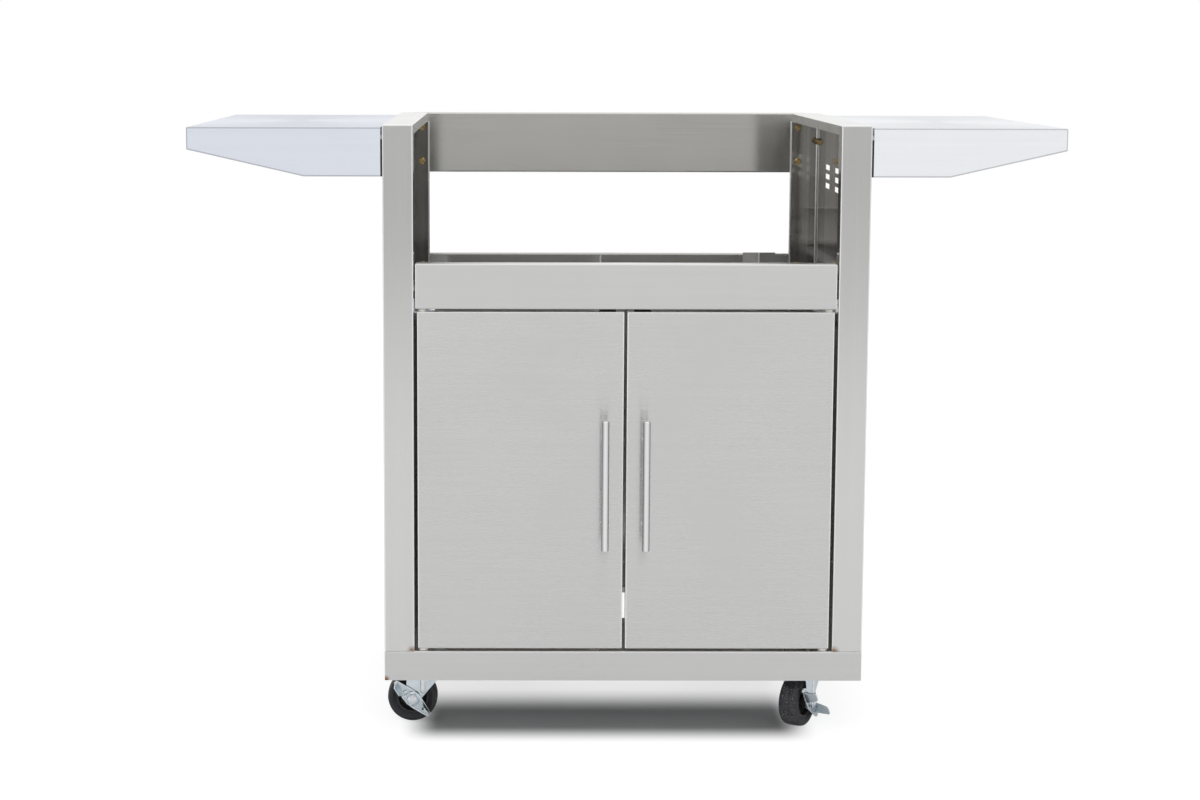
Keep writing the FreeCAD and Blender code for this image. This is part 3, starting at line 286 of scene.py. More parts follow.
def turned(shape, profile, at=Matrix(), steps=48, bored=False):
    """Adds a turned form about its own Z from (radius, height) pairs in millimetres."""
    turn = [2 * math.pi * step / steps for step in range(steps)]
    skinned(shape, [
        [corner_of(shape, at, radius * math.cos(a), radius * math.sin(a), height) for a in turn]
        for radius, height in profile], bored)


def softened(corners, radius, steps=6):
    """A closed outline with its corners rounded."""
    points = []
    for index, corner in enumerate(corners):
        corner, before = Vector(corner), Vector(corners[index - 1])
        after = Vector(corners[(index + 1) % len(corners)])
        start = corner + (before - corner).normalized() * radius
        end = corner + (after - corner).normalized() * radius
        for step in range(steps + 1):
            t = step / steps
            points.append(start * (1 - t) ** 2 + corner * (2 * t * (1 - t)) + end * t ** 2)
    return points


def circle(radius, centre=(0, 0), steps=40, start=0.0, sweep=2 * math.pi):
    """Points round a circle, or along part of it."""
    return [Vector((centre[0] + radius * math.cos(start + sweep * step / steps),
                    centre[1] + radius * math.sin(start + sweep * step / steps))) for step in range(steps)]


def stamped(shape, outlines, gauge, at=Matrix(), edge=0.3):
    """Adds a plate cut to closed outlines in millimetres, holes after the outer one, with softened edges."""
    curve = bpy.data.curves.new("blank", "CURVE")
    curve.dimensions = "2D"
    curve.fill_mode = "BOTH"
    curve.extrude = (gauge / 2 - edge) * MM
    curve.bevel_depth = edge * MM
    curve.bevel_resolution = 2
    curve.offset = -edge * MM
    for outline in outlines:
        spline = curve.splines.new("POLY")
        spline.points.add(len(outline) - 1)
        for point, (u, v) in zip(spline.points, outline):
            point.co = (u * MM, v * MM, 0, 1)
        spline.use_cyclic_u = True
    blank = bpy.data.objects.new("blank", curve)
    bpy.context.scene.collection.objects.link(blank)
    bpy.context.view_layer.update()
    mesh = bpy.data.meshes.new_from_object(blank.evaluated_get(bpy.context.evaluated_depsgraph_get()))
    mesh.transform(at)
    shape.from_mesh(mesh)
    bpy.data.objects.remove(blank)
    bpy.data.curves.remove(curve)
    bpy.data.meshes.remove(mesh)


def shifted(x, y, z):
    """A move in millimetres."""
    return Matrix.Translation(Vector((x, y, z)) * MM)


PLATE_LOW, PLATE_TOP = 99.0, 102.0
PLATE_HALF, PLATE_ROUND = (46, 31), 7
PLATE_HOLES = (37, 22)
SLOT_HALF, SLOT_ROUND = (4.6, 3.4), 3.2
SQUARE = ((-1, -1), (1, -1), (1, 1), (-1, 1))
UPPER_RACE = [(26, 99.0), (24.5, 97.6), (22.8, 96.4), (22, 95.2), (20.6, 95.0), (14.5, 95.0), (13, 95.8),
              (13, 99.0)]
KINGPIN = [(5, 99.5), (5, 89.6), (8.6, 89.6), (9, 89.0), (8.4, 86.9), (6.8, 85.8), (3.0, 85.6)]
caster_zinc = plated_zinc("caster_bright_zinc", (0.80, 0.89, 0.94), 0.15)
CASTERS = {
    "front_left": (-286, -211, 180), "front_right": (286, -211, -122),
    "rear_left": (-286, 253, 90), "rear_right": (286, 253, 90),
}
for corner, (x, y, _) in CASTERS.items():
    shape = bmesh.new()
    rim = softened([(u * PLATE_HALF[0], v * PLATE_HALF[1]) for u, v in SQUARE], PLATE_ROUND)
    slots = [
        softened([(sx * PLATE_HOLES[0] + u * SLOT_HALF[0], sy * PLATE_HOLES[1] + v * SLOT_HALF[1])
                  for u, v in SQUARE], SLOT_ROUND)
        for sx in (-1, 1) for sy in (-1, 1)
    ]
    stamped(shape, [rim] + slots, PLATE_TOP - PLATE_LOW, shifted(0, 0, (PLATE_LOW + PLATE_TOP) / 2))
    turned(shape, UPPER_RACE, bored=True)
    turned(shape, KINGPIN)
    plate = piece(f"{corner}_swivel_plate", shape, caster_zinc, "cart", shifted(x, y, 0))
    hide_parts(f"{corner}_caster_plate")


# Caster bolts: four yellow-passivated hexagon bolts up through each caster plate, with nuts in the channel.
# Heads and nuts are chamfered, over a pressed washer, and the thread shows past the nut.
BRASSY, PALE_GOLD, BROWN_GRIME = (0.50, 0.34, 0.13, 1), (0.66, 0.52, 0.28, 1), (0.13, 0.08, 0.04, 1)


def passivated(name):
    """Yellow zinc over a bolt: brassy, with rose and olive bloom and dull corners."""
    finish, material = new_finish(name)
    bloom = finish.cloud((260, 260, 260), 3.0)
    grime = finish.cloud((900, 900, 900), 3.0)
    colour = finish.blend(finish.ramp(bloom, 0.35, 0.65), BRASSY, PALE_GOLD)
    colour = finish.blend(finish.ramp(grime, 0.48, 0.68) * 0.7, colour, BROWN_GRIME)
    finish.surface({"Base Color": colour, "Metallic": 1.0, "Roughness": bloom * 0.15 + grime * 0.15 + 0.08},
                   grime, 0.0002)
    return material


def six_sided(shape, radius, height, at):
    """Adds a chamfered hexagon standing on its own Z."""
    flat = radius * math.cos(math.pi / 6)
    rings = []
    for level in ("foot", "shoulder", "top"):
        ring = []
        for step in range(24):
            turn = math.pi * step / 12
            off = (turn + math.pi / 6) % (math.pi / 3) - math.pi / 6
            reach = flat / math.cos(math.pi / 6 - abs(off)) if level != "top" else flat * 0.93
            drop = {"foot": height, "shoulder": 0.25 + (reach - flat) * 0.75, "top": 0.0}[level]
            ring.append(corner_of(shape, at, reach * math.cos(turn), reach * math.sin(turn), height - drop))
        rings.append(ring)
    skinned(shape, rings)


THREAD_PITCH, THREAD_LEAD = 0.9, 0.6


def threaded(shape, radius, low, high, at):
    """Adds a bolt's shank with ridges of thread on it."""
    profile = [(radius * 0.7, low), (radius * 0.94, low + 0.5)]
    ridges = max(2, int((high - low - THREAD_LEAD) / THREAD_PITCH))
    pitch = (high - low - THREAD_LEAD) / ridges
    for ridge in range(ridges):
        start = low + THREAD_LEAD + ridge * pitch
        profile += [(radius * 0.86, start), (radius, start + pitch * 0.45), (radius, start + pitch * 0.6)]
    turned(shape, profile + [(radius * 0.86, high)], at, 24)


def bolt(shape, at, grip, radius=3.0, head=(5.4, 3.3), nut=(5.4, 4.2), tail=2.0, washer=5.9):
    """Adds a bolt with its nut: the head's seat at the origin, its head towards +Z."""
    turned(shape, [(washer, 0.02), (washer, 0.35), (washer - 0.3, 0.6), (radius, 0.6)], at, 32)
    six_sided(shape, head[0], head[1], at @ shifted(0, 0, 0.2))
    threaded(shape, radius, -(grip + nut[1] + tail), 0.1, at)
    six_sided(shape, nut[0], nut[1], at @ shifted(0, 0, -grip) @ Matrix.Rotation(math.pi, 4, "X"))


FACING = {
    "down": Matrix.Rotation(math.pi, 4, "X"), "front": Matrix.Rotation(math.pi / 2, 4, "X"),
    "back": Matrix.Rotation(-math.pi / 2, 4, "X"), "right": Matrix.Rotation(math.pi / 2, 4, "Y"),
    "left": Matrix.Rotation(-math.pi / 2, 4, "Y"),
}
CASTER_GRIP = 5.0
yellow_zinc = passivated("yellow_passivated_zinc")
shape = bmesh.new()
for x, y, _ in CASTERS.values():
    for sx in (-1, 1):
        for sy in (-1, 1):
            seat = shifted(x + sx * PLATE_HOLES[0], y + sy * PLATE_HOLES[1], PLATE_LOW)
            bolt(shape, seat @ FACING["down"], CASTER_GRIP)
caster_screws = piece("caster_screws", shape, yellow_zinc, "cart")
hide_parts("caster_bolts")


# Caster forks: pressed zinc-plated forks that swivel under the plates. The crown is flat with a raised lower
# race; the legs taper down to the axle's boss and carry a pressed stiffening rib in a brighter zinc, a
# painted highlight.
FORK_TOP, FORK_UNDER = 93.0, 90.0
LEG_NEAR, LEG_FAR = 17.0, 19.5
AXLE_X, AXLE_Z = 33.0, 38.1
CROWN_BACK, CROWN_FRONT = -20.0, 40.0
BOSS = 11.0
BEND = 3.0


def swivelled(corner):
    """A caster's own frame: the swivel axis upright at its origin, the wheel trailing towards +X."""
    x, y, heading = CASTERS[corner]
    return shifted(x, y, 0) @ Matrix.Rotation(math.radians(heading), 4, "Z")


def crown(shape):
    """Adds the fork's bent crown, a strip folded down at both sides."""
    arc = [math.pi / 2 * step / 5 for step in range(6)]
    bend = [(LEG_FAR - BEND + BEND * math.cos(a), FORK_TOP - BEND + BEND * math.sin(a)) for a in arc]
    section = bend + [(-y, z) for y, z in reversed(bend)]
    section += [(-LEG_NEAR, FORK_UNDER), (LEG_NEAR, FORK_UNDER)]
    ends = (CROWN_BACK, CROWN_FRONT)
    skinned(shape, [[corner_of(shape, Matrix(), x, y, z) for y, z in section] for x in ends])


def swage(shape, start, end, width, height, at):
    """Adds a pressed rib: a long low mound between two points of its own plane."""
    start, end = Vector(start), Vector(end)
    along = (end - start).normalized()
    across = Vector((-along.y, along.x))
    rings = []
    for level in range(5):
        tilt = math.pi / 2 * level / 4
        reach, rise = width / 2 * math.cos(tilt), height * math.sin(tilt)
        ring = []
        for tip, turned_to in ((end, -math.pi / 2), (start, math.pi / 2)):
            for step in range(9):
                a = turned_to + math.pi * step / 8
                point = tip + (along * math.cos(a) + across * math.sin(a)) * max(reach, 0.05)
                ring.append(corner_of(shape, at, point.x, point.y, rise))
        rings.append(ring)
    skinned(shape, rings)


leg_back = math.radians(222)
leg_outline = [Vector((CROWN_BACK, FORK_UNDER)), Vector((CROWN_FRONT, FORK_UNDER))]
leg_outline += circle(BOSS, (AXLE_X, AXLE_Z), 20, math.radians(4), leg_back - 2 * math.pi - math.radians(4))
leg_outline += [Vector((CROWN_BACK, FORK_TOP - 8))]
axle_hole = circle(4.0, (AXLE_X, AXLE_Z), 28)
LOWER_RACE = [(20, 92.8), (20, 94.2), (19.4, 94.6), (15.5, 94.6), (14.6, 93.9), (5.2, 93.9), (5.2, 92.8)]
RIB_TOP, RIB_FOOT, RIB_WIDTH, RIB_HEIGHT = (17, 86), (17, 49.5), 7.5, 1.8
highlight_zinc = plated_zinc("zinc_painted_highlight", (0.93, 0.96, 1.0), 0.14)
for corner in CASTERS:
    shape, ribs = bmesh.new(), bmesh.new()
    crown(shape)
    turned(shape, LOWER_RACE, bored=True)
    for side in (-1, 1):
        wall = shifted(0, side * (LEG_NEAR + LEG_FAR) / 2, 0) @ FACING["front"]
        stamped(shape, [leg_outline, axle_hole], LEG_FAR - LEG_NEAR, wall)
        face = shifted(0, side * (LEG_FAR - 0.05), 0) @ FACING["front"]
        if side > 0:
            face = face @ Matrix.Scale(-1, 4, Vector((0, 0, 1)))
        swage(ribs, RIB_TOP, RIB_FOOT, RIB_WIDTH, RIB_HEIGHT, face)
    swivel, fork_at = f"{corner}_swivel", swivelled(corner)
    fork = piece(f"{corner}_pressed_fork", shape, caster_zinc, swivel, fork_at)
    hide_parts(f"{corner}_fork")
    piece(f"{corner}_fork_ribs", ribs, highlight_zinc, swivel, fork_at)


# Axles: a hexagon bolt through both fork legs, with a lock nut that has a nylon collar.
# On the braked front casters the nut clamps on a collar that the brake lever rocks on.
LEVER_NEAR, LEVER_FAR = 20.0, 22.0
COLLAR = 6.0
NYLON_COLLAR = [(6.6, 5.1), (6.4, 6.0), (5.4, 6.4), (4, 6.4)]
for corner in CASTERS:
    braked = corner.startswith("front")
    nut_seat = LEVER_FAR + 0.5 if braked else LEG_FAR
    shape = bmesh.new()
    axle_line = swivelled(corner) @ shifted(AXLE_X, 0, AXLE_Z) @ FACING["front"]
    bolt(shape, shifted(0, 0, LEG_FAR), LEG_FAR + nut_seat, 4.0, (7.7, 4.8), (7.7, 5.2), 2.8, 8.2)
    turned(shape, [(radius, -nut_seat - depth) for radius, depth in NYLON_COLLAR], steps=32)
    if braked:
        turned(shape, [(COLLAR, -LEG_FAR), (COLLAR, -nut_seat)], steps=40)
    # The whole axle takes the brighter zinc, a painted highlight.
    axle = piece(f"{corner}_axle_bolt", shape, highlight_zinc, f"{corner}_swivel", axle_line)
    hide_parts(f"{corner}_axle")


# Wheels: a solid black rubber tyre moulded on to a dished black plastic core that turns on the axle.
# The tread is scuffed grey and peppered with grit; the sidewall keeps its moulding step.
TREAD_STARTS = (0.0345, 0.0378)
RUBBER_BLACK, RUBBER_WORN = (0.013, 0.013, 0.017, 1), (0.026, 0.026, 0.033, 1)
DUST_GREY, GRIT_GREY = (0.085, 0.084, 0.092, 1), (0.34, 0.33, 0.32, 1)


def worn_rubber(name):
    """Black rubber: dusty where it rolls, specked with grit, fine-grained all over."""
    finish, material = new_finish(name)
    across, down = finish.axis("X"), finish.axis("Y")
    radius = (across * across + down * down) ** 0.5
    tread = finish.ramp(radius, *TREAD_STARTS)
    grain = finish.cloud((1600, 1600, 1600), 3.0)
    scuffs = finish.cloud((110, 110, 260), 4.0)
    specks = finish.ramp(finish.cloud((420, 420, 420), 2.0), 0.56, 0.68)
    grit = specks * finish.ramp(finish.cloud((70, 70, 70), 2.0), 0.38, 0.62)
    dust = tread * finish.ramp(scuffs, 0.38, 0.72)
    colour = finish.blend(scuffs, RUBBER_BLACK, RUBBER_WORN)
    colour = finish.blend(dust * 0.5, colour, DUST_GREY)
    colour = finish.blend(tread * grit * 0.8, colour, GRIT_GREY)
    roughness = grain * 0.2 + dust * 0.25 + 0.42
    finish.surface({"Base Color": colour, "Roughness": roughness}, grain + grit * tread * 2 + scuffs, 0.0003)
    return material


def moulded_plastic(name, tone, gloss):
    """Moulded plastic with a fine spark-eroded grain, a little dust and duller patches."""
    finish, material = new_finish(name)
    grain = finish.cloud((2200, 2200, 2200), 2.0)
    dust = finish.ramp(finish.cloud((120, 120, 120), 4.0), 0.45, 0.8)
    colour = finish.blend(dust * 0.35, toned(tone, 1.0), toned(tone, 2.6))
    finish.surface({"Base Color": colour, "Roughness": grain * 0.15 + dust * 0.15 + gloss}, grain, 0.00015)
    return material


TYRE_HALF = [(26, 13), (27.2, 14.1), (28.6, 14.4), (29.0, 13.9), (29.5, 14.5), (31, 15), (33.4, 15),
             (35.2, 14.6), (36.6, 13.0), (37.5, 10.8), (37.95, 8.0), (38.08, 4.0), (38.1, 0.4)]
CORE_HALF = [(4.06, 16.5), (9.2, 16.5), (10, 15.8), (10.4, 6.4), (11.8, 4.6), (18.8, 4.6), (20.4, 6.0),
             (21, 12.2), (21.8, 13), (25.6, 13), (25.95, 12.5)]
rubber = worn_rubber("worn_black_rubber")
core_plastic = moulded_plastic("black_core_plastic", (0.016, 0.016, 0.017), 0.38)
for corner in CASTERS:
    for name, half, material, slot, node in (
            ("worn_tyre", TYRE_HALF, rubber, "black_rubber", "tyre"),
            ("wheel_core", CORE_HALF, core_plastic, "black_plastic", "hub")):
        shape = bmesh.new()
        mirrored_half = [(radius, -along) for radius, along in reversed(half)]
        turned(shape, half + mirrored_half, steps=96, bored=True)
        wheel_line = swivelled(corner) @ shifted(AXLE_X, 0, AXLE_Z) @ FACING["back"]
        wheel_piece = piece(f"{corner}_{name}", shape, material, f"{corner}_wheel", wheel_line)
        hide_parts(f"{corner}_{node}")


# Brake levers: a stamped pointed-oval plate on each front caster that rocks on the axle's collar.
# A foot tab is folded out along each end, the middle is dished round the nut, a small slot is pierced, and
# the raised rim and dimples take a brighter zinc as a painted highlight.
LEVER_HALF, LEVER_WAIST, LEVER_TIP, WAIST_HALF = 37.0, 12.0, 3.5, 9
TAB_START, TAB_END, TAB_DEEP, TAB_GAUGE = 12.0, 34.6, 23.0, 2.0
LEVER_TILT = math.radians(45)
waist_drop = (LEVER_WAIST - LEVER_TIP) / LEVER_HALF


def pointed_oval(end, tip, waist, radius):
    """A lever's outline: blunt points at both ends and a flat on each side of the waist."""
    return softened([(-end, -tip), (-WAIST_HALF, -waist), (WAIST_HALF, -waist), (end, -tip),
                     (end, tip), (WAIST_HALF, waist), (-WAIST_HALF, waist), (-end, tip)], radius)


lever_outline = pointed_oval(LEVER_HALF, LEVER_TIP, LEVER_WAIST - 1.2, 3.0)
rim_inside = pointed_oval(LEVER_HALF - 3.0, LEVER_TIP - 1.6, LEVER_WAIST - 3.0, 1.6)
pierced = softened([(-27.5, -2.4), (-20.5, -3.2), (-22.5, 3.0)], 0.9)
pivot_hole = circle(COLLAR + 0.06)
DIMPLES = ((15.0, 0.5, 3.2), (10.6, 4.4, 2.2))
DIMPLE_DOME = ((1.0, 21.9), (0.9, 22.7), (0.55, 23.4), (0.1, 23.7))
NUT_DISH = [(12.0, 21.9), (11.2, 22.5), (9.4, 23.1), (8.9, 22.9), (8.9, 21.6), (12.0, 21.6)]
long_way, outwards = Vector((math.cos(LEVER_TILT), 0, math.sin(LEVER_TILT))), Vector((0, 1, 0))
stance = Matrix((long_way, outwards.cross(long_way), outwards)).transposed().to_4x4()
for corner in ("front_left", "front_right"):
    shape, rim = bmesh.new(), bmesh.new()
    stamped(rim, [lever_outline, rim_inside], 1.2, shifted(0, 0, LEVER_FAR + 0.4))
    for x, y, radius in DIMPLES:
        turned(rim, [(radius * share, height) for share, height in DIMPLE_DOME], shifted(x, y, 0), 24)
    plate_at = shifted(0, 0, (LEVER_NEAR + LEVER_FAR) / 2)
    stamped(shape, [lever_outline, pierced, pivot_hole], LEVER_FAR - LEVER_NEAR, plate_at)
    turned(shape, NUT_DISH, bored=True)
    for end in (-1, 1):
        edge_start = Vector((end * TAB_START, end * (LEVER_WAIST - TAB_START * waist_drop), 0))
        edge_end = Vector((end * TAB_END, end * (LEVER_WAIST - TAB_END * waist_drop), 0))
        along = (edge_end - edge_start).normalized()
        length = (edge_end - edge_start).length
        facing = Matrix((along, Vector((0, 0, 1)), along.cross(Vector((0, 0, 1))))).transposed().to_4x4()
        seat = Matrix.Translation((edge_start + Vector((0, -end * TAB_GAUGE / 2, LEVER_NEAR))) * MM)
        tab = softened([(0, 0), (length, 0), (length, TAB_DEEP), (length * 0.36, TAB_DEEP)], 3.2)
        stamped(shape, [tab], TAB_GAUGE, seat @ facing)
    lever_at = swivelled(corner) @ shifted(AXLE_X, 0, AXLE_Z) @ stance
    lever = piece(f"{corner}_foot_lever", shape, zinc, f"{corner}_brake", lever_at)
    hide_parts(f"{corner}_brake_lever")
    piece(f"{corner}_lever_rim", rim, highlight_zinc, f"{corner}_brake", lever_at)


# Side panels: a C of stainless sheet whose front flange is the post, brushed upright outside and left
# mill-bright inside, where it is painted darker and warmer as shade in the channel. Vent slots are pierced
# through it, the foot welds show a little heat tint, and the post's upright folds carry painted highlights.
SIDES = (("left", -1), ("right", 1))
BEHIND_POST, UNDER_TOP = (-0.2835, -0.2825), (0.9126, 0.9130)
PAST_RETURN, AT_OUTER_SHEET = (0.3126, 0.3129), (0.3572, 0.3576)


def inside_of_panel(finish):
    """The faces inside a side panel's channel, mirror-bright and painted darker as shade."""
    outwards = abs(finish.axis("X"))
    behind_post = finish.ramp(finish.axis("Y"), *BEHIND_POST)
    under_top = 1 - finish.ramp(finish.axis("Z"), *UNDER_TOP)
    between = finish.ramp(outwards, *PAST_RETURN) * (1 - finish.ramp(outwards, *AT_OUTER_SHEET))
    return between * behind_post * under_top


HIGHLIGHT_REACH, HIGHLIGHT_DEPTH = (0.0015, 0.0019), (0.0010, 0.0014)


def fold_highlights(front, edges):
    """A mask of painted highlights along a front sheet's upright folds, which stand at given distances from
    the middle.
    """
    def mask(finish):
        outwards = abs(finish.axis("X"))
        lines = [1 - finish.ramp(abs(outwards - edge), *HIGHLIGHT_REACH) for edge in edges]
        return sum(lines) * (1 - finish.ramp(finish.axis("Y"), *(front + depth for depth in HIGHLIGHT_DEPTH)))
    return mask


PANEL_TONE = (0.81, 0.81, 0.80)
POST_INNER = 313.0
FOOT_WELD, FOOT_TINT = 0.003, (0.011, 1.7)
right_panel_low, right_panel_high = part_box("right_side_panel")
post_fold_highlights = fold_highlights(right_panel_low.y, [POST_INNER * MM, right_panel_high.x])
for word, side in SIDES:
    low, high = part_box(f"{word}_side_panel")
    foot = Vector((side * (abs(low.x if side > 0 else high.x) + FOOT_WELD), low.y, low.z))
    dress(f"{word}_side_panel", brushed_steel(
        f"{word}_panel_brushed_steel", PANEL_TONE, 0.30, UPRIGHT, [(foot, *FOOT_TINT)], inside_of_panel,
        mill=0.60, drag=0.8, highlighted=post_fold_highlights))


# Flange hems: the inner edge of each rear flange is rolled over into a round bead. It is drawn from the same
# sheet, in a lighter steel than the panel as a painted highlight.
HEM_X, HEM_Y, HEM_RADIUS = 311.4, 311.0, 1.8
HEM_SPANS = ((142, 600), (644, 899))


def bead(shape, x, y, radius, low, high, end=0.5):
    """Adds an upright round bead with eased ends."""
    turned(shape, [(radius - end, low), (radius, low + end), (radius, high - end), (radius - end, high)],
           shifted(x, y, 0), 20)


highlight_steel = brushed_steel("painted_highlight_steel", (0.97, 0.97, 0.96), 0.3, UPRIGHT, drag=0.0)
for word, side in SIDES:
    shape = bmesh.new()
    for low, high in HEM_SPANS:
        bead(shape, side * HEM_X, HEM_Y, HEM_RADIUS, low, high)
    piece(f"{word}_flange_hem", shape, highlight_steel, "cart")


# Panel bends: the inside of the fold between each side panel and its rear flange, a small hollow curve.
# It takes the lighter steel, a painted highlight along it as a fine upright line.
BEND_X, BEND_Y, BEND_RADIUS = 356.8, 311.8, 2.6
BEND_SPAN = (142, 899)
bend_centre = (BEND_X - BEND_RADIUS, BEND_Y - BEND_RADIUS)
hollow = circle(BEND_RADIUS, bend_centre, 9, math.pi / 2, -math.pi / 2 * 9 / 8)
for word, side in SIDES:
    shape = bmesh.new()
    outline = [(side * x, y) for x, y in hollow + [Vector((BEND_X, BEND_Y))]]
    skinned(shape, [[corner_of(shape, Matrix(), x, y, z) for x, y in outline] for z in BEND_SPAN])
    piece(f"{word}_panel_bend", shape, highlight_steel, "cart")


# Rear panel, top beam and hose bracket: folded stainless pans bolted behind the rear flanges, mill-bright;
# the panel is painted darker, as shade inside the cabinet. A paler hook for the gas hose is spot-welded to
# the panel's top edge, the half of it turned from the light painted darker as shade, and a near-white bead
# runs down the middle of the panel and along the hook's crease as a painted highlight.
hook_low, hook_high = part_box("hose_bracket")
hook_middle = (hook_low.x + hook_high.x) / 2


def turned_away(finish):
    """The half of the hook that its crease turns from the light, painted darker as shade."""
    return finish.ramp(finish.axis("X"), hook_middle, hook_middle + 0.001)


dress("rear_top_beam", brushed_steel("beam_mill_steel", (0.62, 0.615, 0.59), 0.14, ALONG_CART))
dress("rear_panel", brushed_steel("rear_painted_shade_steel", (0.50, 0.495, 0.475), 0.14, ALONG_CART, metal=0.78))
dress("hose_bracket", brushed_steel("hook_mill_steel", (0.60, 0.595, 0.58), 0.2, ALONG_CART, metal=0.6,
                                    shaded=turned_away))
# Near-white beads down the panel and the hook: painted highlights.
PANEL_HIGHLIGHT_LINE = (-15, 312.7, 1.4, 142, 669)
HOOK_HIGHLIGHT_LINE = (hook_middle / MM, 311.8, 1.1, 641, 673.6)
shape = bmesh.new()
for crease in (PANEL_HIGHLIGHT_LINE, HOOK_HIGHLIGHT_LINE):
    bead(shape, *crease, end=0.4)
highlight_line_steel = brushed_steel("painted_highlight_line_steel", (0.97, 0.97, 0.95), 0.3, UPRIGHT, drag=0.0, metal=0.1)
piece("rear_highlight_lines", shape, highlight_line_steel, "cart")


# Apron: a folded stainless strip between the posts over the doors, brushed along the cart.
# Its top edge is bent back to a clean bright line, and the folds at its ends carry painted highlights.
apron_low, apron_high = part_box("front_apron")
dress("front_apron", brushed_steel("apron_brushed_steel", FRONT_TONE, 0.30, ALONG_CART,
                                   highlighted=fold_highlights(apron_low.y, [apron_high.x])))


# Oven rails: galvanised angles bolted inside the posts and rear flanges that the oven stands on.
# They share the channels' zinc.
for word, _ in SIDES:
    dress(f"{word}_oven_rail", zinc)


# Frame bolts: yellow-passivated bolts and nuts that hold the carcass together.
# The apron's four have a turned spacer in the gap to the post; they and the rails' front ones are near black,
# as painted shade for the gaps they sit in.
FLANGE_FACE, FRONT = 311.8, -287.0
FLANGE_BOLT_X, FLANGE_BOLT_HEIGHTS = 323, (889, 831, 152, 400, 652)
FOOT_BOLT_X, FOOT_BOLT_Z, FOOT_BOLT_SETBACKS = 335.5, 128.2, (150, 300, 450)
APRON_BOLT_X, APRON_BOLT_SETBACK, APRON_BOLT_HEIGHTS = 309.4, 11, (663, 691)
SPACER = [(5.4, -1.25), (5.4, -3.55)]
RAIL_BOLT_Z, RAIL_FRONT_SETBACK, RAIL_REAR_X, RAIL_GAUGE = 621, 24, 331, 2
SHEETS_GRIP, APRON_GRIP, RAIL_FRONT_GRIP, RAIL_REAR_GRIP = 2.4, 4.8, 3.2, 4.4
shape, gap_shape = bmesh.new(), bmesh.new()
for _, side in SIDES:
    inwards = FACING["left" if side > 0 else "right"]
    for z in FLANGE_BOLT_HEIGHTS:
        bolt(shape, shifted(side * FLANGE_BOLT_X, FLANGE_FACE, z) @ FACING["front"], SHEETS_GRIP)
    for setback in FOOT_BOLT_SETBACKS:
        bolt(shape, shifted(side * FOOT_BOLT_X, FRONT + setback, FOOT_BOLT_Z), SHEETS_GRIP)
    for z in APRON_BOLT_HEIGHTS:
        seat = shifted(side * APRON_BOLT_X, FRONT + APRON_BOLT_SETBACK, z) @ inwards
        bolt(gap_shape, seat, APRON_GRIP)
        turned(gap_shape, SPACER, seat, 32)
    seat = shifted(side * POST_INNER, FRONT + RAIL_FRONT_SETBACK, RAIL_BOLT_Z) @ inwards
    bolt(gap_shape, seat, RAIL_FRONT_GRIP)
    seat = shifted(side * RAIL_REAR_X, FLANGE_FACE - RAIL_GAUGE, RAIL_BOLT_Z) @ FACING["front"]
    bolt(shape, seat, RAIL_REAR_GRIP)
frame_screws = piece("frame_screws", shape, yellow_zinc, "cart")
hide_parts("frame_bolts")
shade_black_zinc = plated_zinc("painted_shade_black_zinc", (0.07, 0.07, 0.07), 0.32)
piece("shade_black_screws", gap_shape, shade_black_zinc, "cart")


# Door catches and hinge pins: a moulded magnet housing for each door under the apron's ledge, with two steel
# poles, and headed steel pins that the doors turn on.
satin_bar = brushed_steel("satin_bar_steel", (0.90, 0.90, 0.90), 0.12, UPRIGHT, drag=0.0)
dress("hinge_pins", satin_bar)
black_plastic = moulded_plastic("black_moulded_plastic", (0.022, 0.022, 0.023), 0.42)
CATCH_CENTRE, CATCH_SIZE = (26, -256, 636), (24, 22, 14)
POLE_LEVELS, POLE_HALF, POLE_PROUD, POLE_DEEP, POLE_GAUGE = (-2.6, 2.6), 9, 0.25, 2, 1.6
x, y, z = CATCH_CENTRE
half_x, half_y = CATCH_SIZE[0] / 2, CATCH_SIZE[1] / 2
block = softened([(u * half_x, v * half_y) for u, v in SQUARE], 2.5)
pole_front, pole_back = -half_y - POLE_PROUD, -half_y + POLE_DEEP
pole = softened([(-POLE_HALF, pole_front), (POLE_HALF, pole_front), (POLE_HALF, pole_back),
                 (-POLE_HALF, pole_back)], 0.5)
shape, poles = bmesh.new(), bmesh.new()
for _, side in SIDES:
    stamped(shape, [block], CATCH_SIZE[2], shifted(side * x, y, z), 0.8)
    for level in POLE_LEVELS:
        stamped(poles, [pole], POLE_GAUGE, shifted(side * x, y, z + level), 0.2)
housing = piece("catch_housings", shape, black_plastic, "cart")
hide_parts("door_catches")
piece("catch_poles", poles, zinc, "cart")


